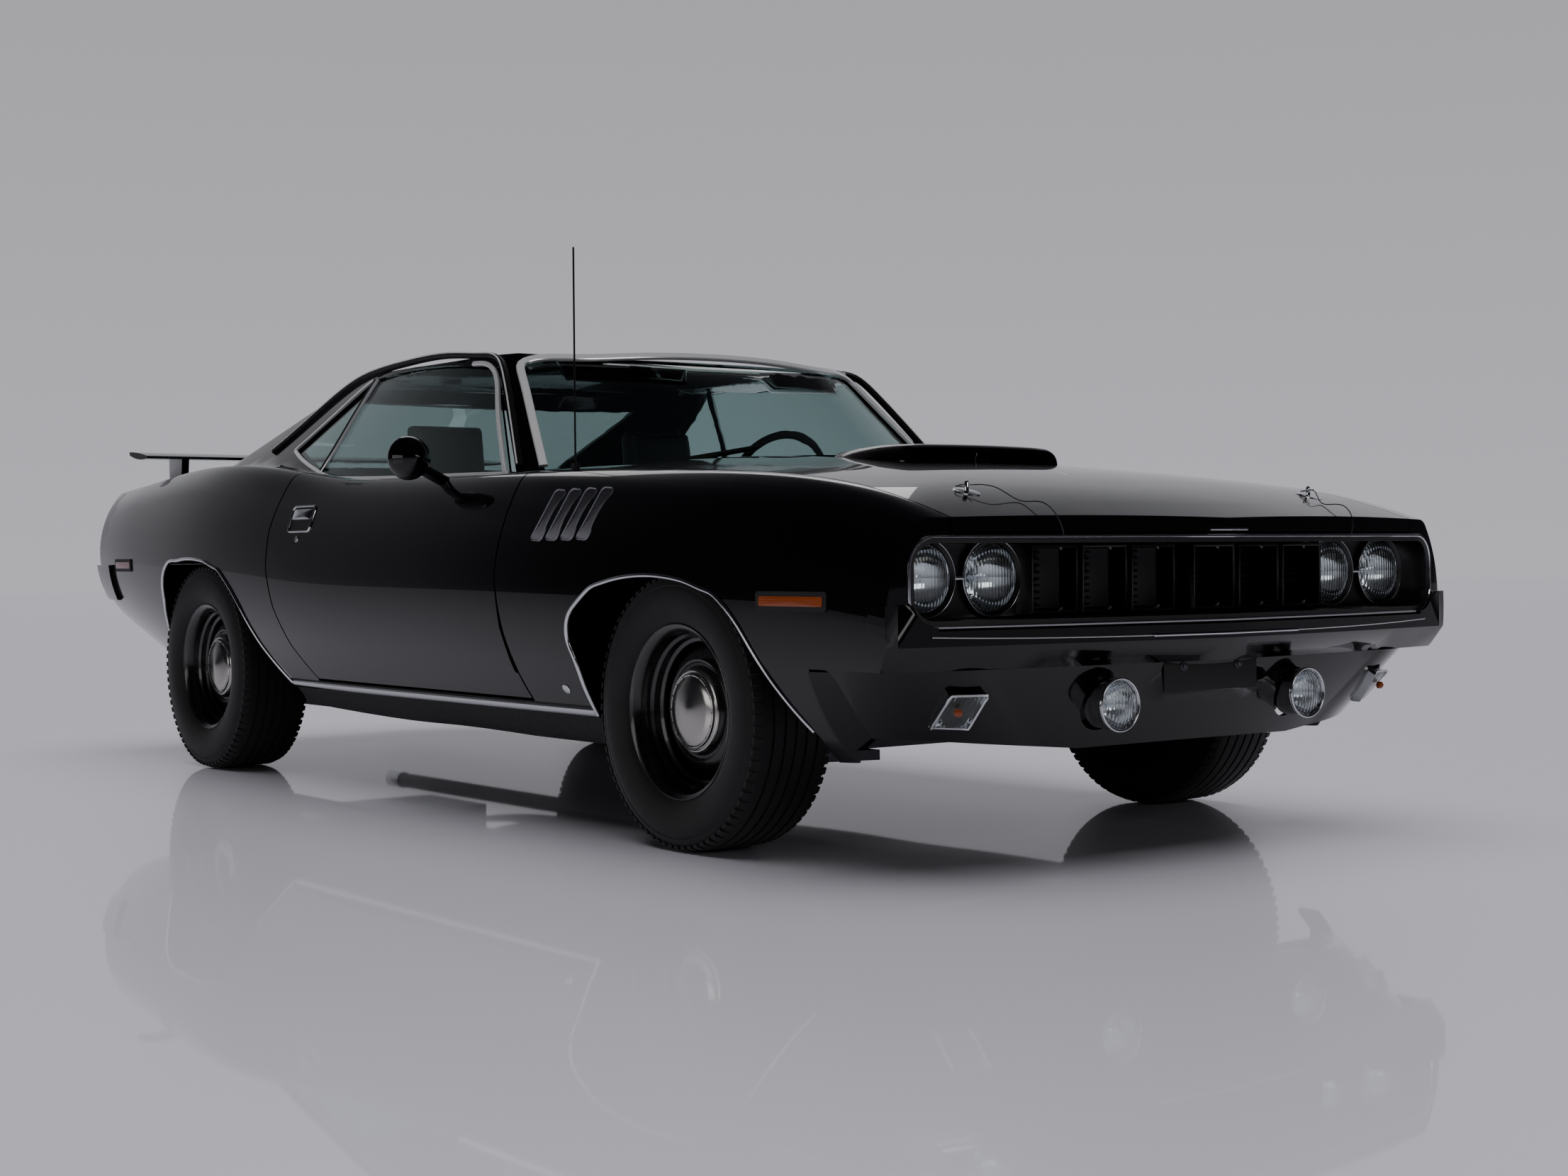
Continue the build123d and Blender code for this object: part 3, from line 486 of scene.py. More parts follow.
def wornBetween(tree, shader, value, low, high):
    # a roughness that wanders between two values with a pattern
    between = addNode(tree, "ShaderNodeMapRange", {"To Min": low, "To Max": high}, Value=value)
    tree.links.new(between.outputs["Result"], shader.inputs["Roughness"])


def embossed(tree, shader, height, strength, distance):
    bump = bumpFrom(tree, height, strength, distance)
    tree.links.new(bump.outputs["Normal"], shader.inputs["Normal"])


def flutes(tree, direction, perMetre):
    # straight moulded ribs
    settings = {"wave_type": "BANDS", "bands_direction": direction, "Scale": perMetre, "Distortion": 0.0}
    return addNode(tree, "ShaderNodeTexWave", settings, Vector=objectPoint(tree)).outputs["Fac"]


def blackEnamel():
    # black two-pack enamel under clear coat, sprayed and polished: deep, mirror-like, with faint orange peel
    material, tree, shader = newMaterial("blackEnamel", Base_Color=colour("#040406"), Coat_Weight=1.0,
                                         Coat_Roughness=0.02, Coat_IOR=1.42, Specular_IOR_Level=0.05)
    peel = bumpFrom(tree, surfaceNoise(tree, 160.0, 1.0), 0.02, 0.0004)
    wornBetween(tree, shader, surfaceNoise(tree, 9.0), 0.20, 0.28)
    roundedEdges(tree, shader, 0.0025, peel)
    return material


def chromePlate():
    # nickel-chrome plated steel: bright with a slight haze where it has been wiped
    material, tree, shader = newMaterial("chromePlate", Base_Color=colour("#d9dadd"), Metallic=1.0)
    wornBetween(tree, shader, surfaceNoise(tree, 40.0), 0.05, 0.12)
    roundedEdges(tree, shader, 0.0008)
    return material


def polishedTrim():
    # thin stainless mouldings, rolled and polished, with a fine haze that catches light from every side
    material, tree, shader = newMaterial("polishedTrim", Base_Color=colour("#f4f4f6"), Metallic=0.55,
                                         Specular_IOR_Level=0.8)
    wornBetween(tree, shader, surfaceNoise(tree, 30.0), 0.14, 0.22)
    roundedEdges(tree, shader, 0.0008)
    return material


def satinAluminium():
    # die-cast louvre facings with a grey satin finish, lightly grained along their length
    material, tree, shader = newMaterial("satinAluminium", Base_Color=colour("#9b9ba2"), Metallic=1.0)
    grain = addNode(tree, "ShaderNodeTexNoise", {"Scale": 400.0, "Detail": 2.0},
                    Vector=objectPoint(tree, (1, 1, 0.06))).outputs["Fac"]
    wornBetween(tree, shader, grain, 0.28, 0.42)
    roundedEdges(tree, shader, 0.0015, bumpFrom(tree, grain, 0.1, 0.0002))
    return material


def spunStainless():
    # spun stainless hub caps, polished, with a fine grain in the metal
    material, tree, shader = newMaterial("spunStainless", Base_Color=colour("#bdbab6"), Metallic=1.0)
    grain = surfaceNoise(tree, 900.0, 2.0)
    wornBetween(tree, shader, grain, 0.12, 0.22)
    roundedEdges(tree, shader, 0.0008, bumpFrom(tree, grain, 0.06, 0.0001))
    return material


def tyreRubber():
    # carbon-black tyre rubber, moulded: dull, with a soft sheen and a fine mould texture
    material, tree, shader = newMaterial("tyreRubber", Base_Color=colour("#101011"), Specular_IOR_Level=0.35,
                                         Sheen_Weight=0.12, Sheen_Roughness=0.5)
    skin = surfaceNoise(tree, 500.0)
    wornBetween(tree, shader, surfaceNoise(tree, 25.0), 0.55, 0.72)
    roundedEdges(tree, shader, 0.001, bumpFrom(tree, skin, 0.15, 0.0003))
    return material


def wheelEnamel():
    # stove-enamelled steel wheels: glossy black over pressed steel, a little softer than the body
    material, tree, shader = newMaterial("wheelEnamel", Base_Color=colour("#08080a"), Coat_Weight=0.7,
                                         Coat_Roughness=0.08)
    wornBetween(tree, shader, surfaceNoise(tree, 30.0), 0.22, 0.34)
    roundedEdges(tree, shader, 0.002, bumpFrom(tree, surfaceNoise(tree, 120.0), 0.03, 0.0004))
    return material


def tintedGlass():
    # toughened window glass with a faint green-blue tint
    material, tree, shader = newMaterial("tintedGlass", Base_Color=colour("#c3d6d4"), Transmission_Weight=1.0,
                                         IOR=1.52)
    wornBetween(tree, shader, surfaceNoise(tree, 3.0), 0.0, 0.006)
    return material


def lensGlass():
    # pressed headlamp glass: clear, with vertical flutes moulded inside
    material, tree, shader = newMaterial("lensGlass", Base_Color=colour("#e6eaea"), Transmission_Weight=1.0,
                                         IOR=1.47, Roughness=0.02)
    embossed(tree, shader, flutes(tree, "Y", 35.0), 0.35, 0.002)
    return material


def acrylic(name, code):
    # injection-moulded acrylic lens, with a fine prism pattern inside
    material, tree, shader = newMaterial(name, Base_Color=colour(code), Transmission_Weight=0.25, IOR=1.49,
                                         Coat_Weight=0.6, Coat_Roughness=0.03)
    ribs = flutes(tree, "Z", 60.0)
    wornBetween(tree, shader, ribs, 0.12, 0.3)
    embossed(tree, shader, ribs, 0.3, 0.0008)
    return material


def matBlack(name, code, low, high, perMetre, depth, metallic=0.0):
    # one recipe for dull painted, cast and moulded surfaces: colour, roughness range, grain and its depth
    material, tree, shader = newMaterial(name, Base_Color=colour(code), Metallic=metallic)
    grain = surfaceNoise(tree, perMetre)
    wornBetween(tree, shader, grain, low, high)
    roundedEdges(tree, shader, 0.0015, bumpFrom(tree, grain, 0.35, depth))
    return material


def blackVinyl():
    # embossed vinyl on foam: a pebbled grain about 2 mm across and a low sheen
    material, tree, shader = newMaterial("blackVinyl", Base_Color=colour("#0d0d0f"), Sheen_Weight=0.08)
    cells = addNode(tree, "ShaderNodeTexVoronoi", {"Scale": 480.0}, Vector=objectPoint(tree))
    cells = cells.outputs["Distance"]
    wornBetween(tree, shader, cells, 0.38, 0.55)
    embossed(tree, shader, cells, 0.3, 0.0006)
    return material


paint = blackEnamel()
chrome = chromePlate()
trim = polishedTrim()
louvreGrey = satinAluminium()
capSteel = spunStainless()
rubber = tyreRubber()
wheelPaint = wheelEnamel()
glass = tintedGlass()
lampGlass = lensGlass()
amberLens = acrylic("amberAcrylic", "#a8480f")
redLens = acrylic("redAcrylic", "#7d0a0c")
grilleBlack = matBlack("mouldedAbs", "#0a0a0b", 0.30, 0.48, 220.0, 0.0003)    # ABS, moulded, satin
trimBlack = matBlack("crackleBlack", "#0c0c0d", 0.50, 0.70, 300.0, 0.0004)     # black paint on small parts
underBlack = matBlack("chassisBlack", "#0b0b0c", 0.60, 0.80, 90.0, 0.0008)     # chassis paint over steel
castGrey = matBlack("castIron", "#26262a", 0.60, 0.82, 160.0, 0.0012, 0.6)     # sand-cast iron
dullSteel = matBlack("mildSteel", "#55555a", 0.35, 0.55, 120.0, 0.0004, 1.0)   # bare rolled steel
vinyl = blackVinyl()
bulbSilver = matBlack("vacuumSilver", "#e4e6ea", 0.03, 0.09, 60.0, 0.0001, 1.0)  # silvered lamp bowl
# the record's slot that each material shows
slotOf = {
    paint: "body_paint", glass: "glass", rubber: "tyre", wheelPaint: "wheel_steel", lampGlass: "lamp_glass",
    amberLens: "marker_lens", redLens: "tail_lens", underBlack: "underbody", castGrey: "iron",
    dullSteel: "steel", vinyl: "seat_vinyl", grilleBlack: "black_plastic", trimBlack: "black_plastic",
    **dict.fromkeys((chrome, trim, louvreGrey, capSteel, bulbSilver), "chrome"),
}
print("materials ready")

# ---- panels: the solids' own meshes, by material ----
panelLooks = [
    (paint, ("fender_right", "fender_left", "quarter_right", "quarter_left", "door_right", "door_left",
             "hood", "trunk_lid", "roof", "rear_deck", "tail_panel", "front_bumper", "rear_bumper",
             "rear_valance", "front_valance", "rear_spoiler")),
    (glass, ("windshield", "rear_window", "quarter_glass", "door_glass_right", "door_glass_left")),
    (paint, ("cowl",)),
    (underBlack, ("engine_bay", "floor_pan")),
    (castGrey, ("engine", "gearbox", "rear_axle", "knuckle_right", "knuckle_left")),
    (dullSteel, ("front_suspension", "driveshaft", "fuel_tank", "exhaust")),
    (trimBlack, ("dashboard", "steering_column", "antenna")),
    (grilleBlack, ("grille",)),
    (redLens, ("tail_lamps",)),
]
for material, names in panelLooks:
    for name in names:
        finished(panelCopy(name), material, nodes[name]["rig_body"], (name,))
print("panels ready")


# ---- outlines shared by panels and mouldings ----
def tracedOutline(points, spacing=0.012):
    # a run of points along an outline; a third entry marks an arc's middle
    run, i = [], 0
    while i < len(points) - 1:
        p, q = points[i], points[i + 1]
        if len(q) == 3:
            cx, cy, radius, start, turn = arcThrough(p, q, points[i + 2])
            n = max(2, int(abs(turn) * radius / 1000 / spacing))
            angles = [start + turn * k / n for k in range(n)]
            run += [(cx + radius * math.cos(a), cy + radius * math.sin(a)) for a in angles]
            i += 2
        else:
            n = max(1, int(math.hypot(q[0] - p[0], q[1] - p[1]) / 1000 / spacing))
            run += [(p[0] + (q[0] - p[0]) * k / n, p[1] + (q[1] - p[1]) * k / n) for k in range(n)]
            i += 1
    run.append(points[-1][:2])
    return np.array(run) / 1000.0


def sideMoulding(name, run, section):
    path = onSide(run[:, 0], run[:, 1])
    return sweep(name, path, bodyNormal(path), section)


archForm = {
    "front": [(1104, 300), (1104, 440), (1092, 520, "arc"), (1128, 567), (1198, 613), (1340, 640, "arc"),
              (1586, 630), (1684, 604), (1752, 556, "arc"), (1790, 512), (1837, 441), (1888, 364),
              (1932, 295)],
    "rear": [(-1680, 360), (-1600, 470), (-1550, 560), (-1520, 645, "arc"), (-1403, 684), (-1261, 692, "arc"),
             (-1125, 682), (-1012, 656), (-912, 590, "arc"), (-841, 513), (-774, 427), (-698, 342),
             (-668, 308)],
    "lipWidth": 0.011,
    "lipHeight": 0.006,
    "sillWidth": 0.026,
    "sillHeight": 0.007,
    "sillZ": 0.306,
}
for key in ("front", "rear"):
    run = smoothPath(tracedOutline(archForm[key])[::3], 140)
    twice(sideMoulding("arch_moulding_" + key, run, halfRound(archForm["lipWidth"], archForm["lipHeight"])),
          chrome)
sillRun = np.array([(x, archForm["sillZ"]) for x in np.linspace(-0.655, 1.100, 90)])
twice(sideMoulding("sill_moulding", sillRun, halfRound(archForm["sillWidth"], archForm["sillHeight"])),
      chrome)
print("mouldings ready")

# ---- wheels and tyres ----
wheelForm = {
    "front": {"x": 1.449, "z": 0.326, "y": 0.7585, "tyre": 0.326},
    "rear": {"x": -1.293, "z": 0.336, "y": 0.771, "tyre": 0.336},
    "grooves": (-0.062, -0.030, 0.0, 0.030, 0.062),
    "grooveWidth": 0.0075,
    "grooveDepth": 0.007,
    "lugs": 76,
}


def tyreProfile(r):
    # the section's right-hand half from bead to tread, then the grooves, then the other half
    side = [(0.086, 0.193), (0.094, 0.199), (0.0985, 0.2075), (0.1035, 0.2125), (0.105, 0.214),
            (0.1115, 0.228), (0.1165, 0.246), (0.118, 0.264), (0.117, r - 0.046), (0.1135, r - 0.034),
            (0.1125, r - 0.0325), (0.1135, r - 0.031), (0.1095, r - 0.020), (0.1035, r - 0.0115),
            (0.095, r - 0.0055), (0.086, r - 0.0025)]
    tread = []
    for g in reversed(wheelForm["grooves"]):
        w, d = wheelForm["grooveWidth"] / 2, wheelForm["grooveDepth"]
        top = r - 0.0022 * (abs(g) / 0.086) ** 2
        tread += [(g + w, top), (g + w * 0.7, top - d), (g - w * 0.7, top - d), (g - w, top)]
    left = [(-y, q) for y, q in reversed(side)]
    return side + tread + left + [side[0]]


def copiesOf(name, piece, material, kind, sizes, turned=False):
    # copies of a piece on the points of a circle or a line, by a node tree; sizes are that node's own inputs
    inputs = {**sizes, "Piece": ("NodeSocketObject", piece), "Finish": ("NodeSocketMaterial", material)}
    tree = bpy.data.node_groups.new(name, "GeometryNodeTree")
    for label, (socket, _) in inputs.items():
        tree.interface.new_socket(label, in_out="INPUT", socket_type=socket)
    tree.interface.new_socket("Geometry", in_out="OUTPUT", socket_type="NodeSocketGeometry")
    given = tree.nodes.new("NodeGroupInput").outputs
    points = addNode(tree, kind)
    for label in sizes:
        tree.links.new(given[label], points.inputs[label])
    info = addNode(tree, "GeometryNodeObjectInfo", {}, Object=given["Piece"])
    copies = addNode(tree, "GeometryNodeInstanceOnPoints", {}, Points=points.outputs["Mesh"],
                     Instance=info.outputs["Geometry"])
    if turned:
        place = addNode(tree, "GeometryNodeInputPosition").outputs["Position"]
        turn = addNode(tree, "FunctionNodeAlignRotationToVector", {"axis": "X"}, Vector=place)
        tree.links.new(turn.outputs["Rotation"], copies.inputs["Rotation"])
    solid = addNode(tree, "GeometryNodeRealizeInstances", {}, Geometry=copies.outputs["Instances"])
    shown = addNode(tree, "GeometryNodeSetMaterial", {}, Geometry=solid.outputs["Geometry"],
                    Material=given["Finish"])
    made = tree.nodes.new("NodeGroupOutput")
    tree.links.new(shown.outputs["Geometry"], made.inputs["Geometry"])
    holder = bpy.data.objects.new(name, bpy.data.meshes.new(name))
    bpy.context.scene.collection.objects.link(holder)
    modifier = holder.modifiers.new("copies", "NODES")
    modifier.node_group = tree
    for item in tree.interface.items_tree:
        if item.in_out == "INPUT":
            modifier[item.identifier] = inputs[item.name][1]
    baked(holder)
    bpy.data.objects.remove(piece)
    return holder


def ringOf(name, piece, count, radius, material):
    sizes = {"Vertices": ("NodeSocketInt", count), "Radius": ("NodeSocketFloat", radius)}
    return copiesOf(name, piece, material, "GeometryNodeMeshCircle", sizes, turned=True)


def rowOf(name, piece, count, step, start, material):
    sizes = {"Count": ("NodeSocketInt", count), "Start Location": ("NodeSocketVector", start),
             "Offset": ("NodeSocketVector", step)}
    return copiesOf(name, piece, material, "GeometryNodeMeshLine", sizes)


def placeRing(obj, centre, side):
    # the ring is made round Z: its axis is laid along the car's Y, its top side outward
    turn = Matrix.Rotation(math.radians(-90 * side), 4, "X")
    obj.data.transform(Matrix.Translation(Vector(centre)) @ turn)
    obj.data.update()
    return obj


def treadLug():
    # one shoulder block of the tread, lying radially at the ring's radius, both shoulders in one piece
    blocks = []
    for s in (-1, 1):
        block = slab("lug", (-0.004, -0.0075, s * 0.0995 - 0.0105), (0.0022, 0.0075, s * 0.0995 + 0.0105))
        for v in block.data.vertices:
            outer = abs(v.co.z) > 0.1
            v.co.x -= 0.011 if outer else 0.0035
            v.co.y += 0.003 * s
        blocks.append(block)
    return joined("lug", blocks)


# turned profiles: distance out along the axle, radius
capForm = [(0.046, 0.099), (0.0515, 0.0985), (0.0545, 0.0965), (0.0555, 0.0935), (0.0545, 0.0905),
           (0.056, 0.0885), (0.0605, 0.0865), (0.0615, 0.0845), (0.0610, 0.0815), (0.0620, 0.0800),
           (0.0652, 0.060), (0.0682, 0.040), (0.0712, 0.020), (0.0725, 0.010), (0.0730, 0.0)]
rimForm = [(-0.093, 0.196), (-0.0985, 0.2045), (-0.1005, 0.2045), (-0.097, 0.194), (-0.085, 0.188),
           (-0.06, 0.176), (0.008, 0.160), (0.030, 0.163), (0.034, 0.171), (0.050, 0.174), (0.056, 0.181),
           (0.080, 0.184), (0.088, 0.1885), (0.0955, 0.1935), (0.0985, 0.1985), (0.1005, 0.2035),
           (0.1000, 0.2055), (0.0980, 0.2055), (0.0955, 0.202), (0.092, 0.194), (0.070, 0.190),
           (0.040, 0.180), (-0.05, 0.186), (-0.093, 0.196)]
discForm = [(0.002, 0.161), (0.006, 0.1605), (0.012, 0.157), (0.020, 0.150), (0.030, 0.138), (0.038, 0.126),
            (0.0405, 0.120), (0.0395, 0.1155), (0.0355, 0.112), (0.0355, 0.106), (0.046, 0.100),
            (0.050, 0.096), (0.050, 0.060), (0.044, 0.060), (0.030, 0.110), (0.012, 0.150), (0.002, 0.157),
            (0.002, 0.161)]
dimpleForm = {"profile": [(-0.0008, 0.0026), (0.0, 0.0024), (0.0007, 0.0015), (0.0009, 0.0)],
              "count": 16, "radius": 0.0830, "out": 0.0612}


def roadWheel(end, side, label):
    # tyre with its lugs, rim with its disc, hub cap and the cap's dimples
    w = wheelForm[end]
    centre, axis = (w["x"], side * w["y"], w["z"]), (0, side, 0)
    body, tyreName, rimName = f"{end}_{label}_wheel", f"{end}_tyre_rubber_{label}", f"{end}_rim_{label}"
    tyre = spun(tyreName, tyreProfile(w["tyre"]), centre, axis, 144, 30)
    lugs = ringOf("tread_lugs", treadLug(), wheelForm["lugs"], w["tyre"], rubber)
    finished(joined(tyreName, [tyre, placeRing(lugs, centre, side)]), rubber, body,
             stands=(f"{end}_tyre_{label}",))
    rim = spun(rimName, rimForm, centre, axis, 128, 30)
    disc = spun("disc", discForm, centre, axis, 128, 30)
    finished(joined(rimName, [rim, disc]), wheelPaint, body, stands=(f"{end}_wheel_{label}",))
    finished(spun(f"{end}_hub_cap_{label}", capForm, centre, axis, 96, 25), capSteel, body)
    dot = spun("dot", dimpleForm["profile"], (0, 0, 0), (0, 0, 1), 10)
    dots = ringOf("dots", dot, dimpleForm["count"], dimpleForm["radius"], trimBlack)
    dots.data.transform(Matrix.Translation((0, 0, dimpleForm["out"])))
    dots = finished(placeRing(dots, centre, side), trimBlack, body)
    dots.name = f"{end}_cap_dimples_{label}"


for end in ("front", "rear"):
    for side, label in ((-1, "right"), (1, "left")):
        roadWheel(end, side, label)
print("wheels ready")

# ---- greenhouse surfaces: straight between an outline at the belt and one at the roof ----
cabinForm = {
    "beltZ": 0.905, "headZ": 1.250,
    "sideBelt": ((0.585, 0.762), (-0.300, 0.800), (-1.900, 0.700)),
    "sideHead": ((0.238, 0.634), (-0.250, 0.640), (-0.700, 0.600)),
    "screenBelt": ((0.585, -0.762), (0.800, 0.0), (0.585, 0.762)),
    "screenHead": ((0.238, -0.634), (0.415, 0.0), (0.238, 0.634)),
}


def arcRun(ends, count=160):
    cx, cy, r, start, turn = arcThrough(*ends)
    a = start + turn * np.linspace(0, 1, count)
    return np.stack([cx + r * np.cos(a), cy + r * np.sin(a)], 1)


def ruled(part, along, z):
    # the cabin's surface: on the side y for an x, on a screen x for a y
    belt, head = arcRun(cabinForm[part + "Belt"]), arcRun(cabinForm[part + "Head"])
    k = (z - cabinForm["beltZ"]) / (cabinForm["headZ"] - cabinForm["beltZ"])
    run = belt + (head - belt) * k
    known, wanted = (run[:, 0], run[:, 1]) if part == "side" else (run[:, 1], run[:, 0])
    order = np.argsort(known)
    return float(np.interp(along, known[order], wanted[order]))


def ruledSlopes(part, along, z):
    # the surface's coordinate and its slopes along and upwards
    slope = (ruled(part, along + 0.02, z) - ruled(part, along - 0.02, z)) / 0.04
    rise = (ruled(part, along, z + 0.01) - ruled(part, along, z - 0.01)) / 0.02
    return ruled(part, along, z), slope, rise


def cabinSide(points):
    # right-hand points on the cabin's side from (x, z) pairs, with their normals
    place, normal = [], []
    for x, z in points:
        y, slope, rise = ruledSlopes("side", x, z)
        place.append((x, -y, z))
        normal.append((-slope, -1.0, -rise))
    return np.array(place), np.array(normal)


def screenFace(points):
    # points on the windshield from (y, z) pairs, with their normals
    place, normal = [], []
    for y, z in points:
        x, slope, rise = ruledSlopes("screen", y, z)
        place.append((x, y, z))
        normal.append((1.0, -slope, -rise))
    return np.array(place), np.array(normal)


def flatBar(width, height, sink=0.003, crown=0.35):
    # a strip's section with softened edges
    w, e = width / 2, height * crown
    return [(-sink, w), (height - e, w), (height, w - e), (height, -w + e), (height - e, -w), (-sink, -w)]


# windshield surround, door glass edges, drip rails, split bars and belt mouldings
trimForm = {
    "surround": [(-0.700, 0.930), (-0.684, 0.975), (-0.650, 1.070), (-0.606, 1.195), (-0.590, 1.228),
                 (-0.560, 1.243), (-0.450, 1.251), (-0.250, 1.260), (0.0, 1.2655)],
    "surroundWidth": 0.024,
    "pillar": [(0.500, 0.914), (0.415, 1.010), (0.330, 1.115), (0.262, 1.200), (0.215, 1.228),
               (0.120, 1.240)],
    "drip": [(0.560, 0.930), (0.470, 1.032), (0.330, 1.184), (0.255, 1.243), (0.147, 1.262), (-0.033, 1.276),
             (-0.330, 1.274), (-0.560, 1.262), (-0.729, 1.232), (-0.900, 1.150), (-1.060, 1.066),
             (-1.121, 1.038)],
    "splitBar": [(-0.652, 0.905), (-0.618, 0.965), (-0.560, 1.120), (-0.523, 1.240)],
    "belt": [(0.520, 0.912), (0.300, 0.915), (0.139, 0.917), (-0.150, 0.921), (-0.400, 0.928),
             (-0.540, 0.938), (-0.640, 0.958), (-0.780, 0.992), (-0.895, 1.026), (-0.918, 1.034)],
    "rearTop": [(-0.925, 1.038), (-0.840, 1.082), (-0.700, 1.160), (-0.600, 1.216), (-0.545, 1.240)],
}
half = np.array(trimForm["surround"])
whole = np.vstack([half, half[-2::-1] * (-1, 1)])
line, out = screenFace(smoothPath(whole, 120))
finished(sweep("windshield_surround", line, out, flatBar(trimForm["surroundWidth"], 0.007)), trim, "chassis")
for name, key, width, height, material in (
        ("pillar_strip", "pillar", 0.014, 0.007, trim), ("drip_rail", "drip", 0.016, 0.014, trimBlack),
        ("belt_moulding", "belt", 0.012, 0.006, trim), ("quarter_edge", "rearTop", 0.008, 0.005, trim)):
    line, out = cabinSide(smoothPath(trimForm[key], 90))
    twice(sweep(name, line, out, flatBar(width, height)), material)
# a bright bead stands on the black drip rail's outer edge: a painted highlight along the rail
dripHighlightForm = {"out": 0.0145, "up": 0.003, "radius": 0.0022}
line, out = cabinSide(smoothPath(trimForm["drip"], 90))
ridge = unit(np.cross(np.gradient(line, axis=0), out))
ridge *= np.sign(ridge[:, 2:3] + 1e-9)
bead = line + unit(out) * dripHighlightForm["out"] + ridge * dripHighlightForm["up"]
twice(sweep("drip_bead", bead, out, roundBar(dripHighlightForm["radius"])), trim)
splitForm = {"bar": (0.026, 0.004), "edge": (0.004, 0.0065), "edgeAhead": 0.012}
line, out = cabinSide(smoothPath(trimForm["splitBar"], 30))
twice(sweep("split_bar", line, out, flatBar(*splitForm["bar"])), trimBlack)
twice(sweep("split_edge", line + (splitForm["edgeAhead"], 0.0, 0.0), out, flatBar(*splitForm["edge"])), trim)
print("greenhouse trims ready")

# ---- front end ----
noseForm = {
    "mouthHalf": 0.846, "mouthTop": 0.7235, "mouthLow": 0.5365, "mouthRound": 0.062,
    "lampY": (0.555, 0.744), "lampX": 2.196, "lampZ": 0.637, "lampR": 0.073, "lampRim": 0.0022,
    "linkLow": (2.196, -0.662, 0.633), "linkHigh": (2.203, -0.637, 0.641),
    "wellY": (0.100, 0.253, 0.405), "wellHalf": 0.068, "wellZ": (0.560, 0.704), "wellRound": 0.018,
    "wellX": 2.1895,
    "vaneX": (2.135, 0.050), "vaneThick": 0.004,
    "slatX": (2.140, 2.168), "slatY": (-0.062, 0.020), "slatHalf": 0.0025, "slats": 9, "slatStep": 0.0145,
    "firstSlat": 0.574,
    "bumperZ": 0.508, "bumperOut": 0.012, "noseStripZ": 0.7375,
}


def noseFace(y, z, out=0.0):
    # points on the front's upright face, with their normals
    y, z = np.asarray(y, float), np.asarray(z, float)
    x = noseX(y)
    slope = (noseX(y + 0.004) - noseX(y - 0.004)) / 0.008
    slope = np.where(np.abs(y) < 0.01, 0.0, slope)
    normal = unit(np.stack([np.ones_like(x), -slope, np.zeros_like(x)], 1))
    return np.stack([x, y, z], 1) + normal * out, normal


def roundedCorners(y0, y1, z0, z1, r, steps=8):
    # the corner points of a rounded rectangle in (y, z)
    run = []
    corners = ((y1 - r, z1 - r, 0), (y0 + r, z1 - r, 90), (y0 + r, z0 + r, 180), (y1 - r, z0 + r, 270))
    for cy, cz, first in corners:
        angles = [math.radians(first + 90 * k / steps) for k in range(steps + 1)]
        run += [(cy + r * math.cos(a), cz + r * math.sin(a)) for a in angles]
    return np.array(run)


def roundedLoop(y0, y1, z0, z1, r, spacing=0.02):
    # its outline, with points along the straight sides too
    run = roundedCorners(y0, y1, z0, z1, r)
    full = []
    for p, q in zip(run, np.roll(run, -1, 0)):
        n = max(1, int(np.linalg.norm(q - p) / spacing))
        full += [p + (q - p) * k / n for k in range(n)]
    return np.array(full)


def atX(x, loop):
    # points at one x from (y, z) pairs
    return np.column_stack([np.full(len(loop), x), loop])


loop = roundedLoop(-noseForm["mouthHalf"], noseForm["mouthHalf"], noseForm["mouthLow"], noseForm["mouthTop"],
                   noseForm["mouthRound"])
line, out = noseFace(loop[:, 0], loop[:, 1], 0.0005)
finished(sweep("mouth_moulding", line, out, flatBar(0.007, 0.005), closed=True), chrome, "chassis")
# name, half width, points, height, rise at the ends, distance out, section
bumperZ, bumperOut = noseForm["bumperZ"], noseForm["bumperOut"]
for name, halfWidth, count, z, rise, lift, section in (
        ("bumper_line", 0.800, 120, bumperZ, 0.010, bumperOut, flatBar(0.0035, 0.003)),
        ("bumper_strip", 0.235, 40, bumperZ, 0.0, bumperOut, halfRound(0.008, 0.006)),
        ("nose_strip", 0.060, 21, noseForm["noseStripZ"], 0.0, 0.001, flatBar(0.006, 0.006))):
    ys = np.linspace(-halfWidth, halfWidth, count)
    line, out = noseFace(ys, z + rise * (np.abs(ys) / halfWidth) ** 3, lift)
    finished(sweep(name, line, out, section), chrome, "chassis")


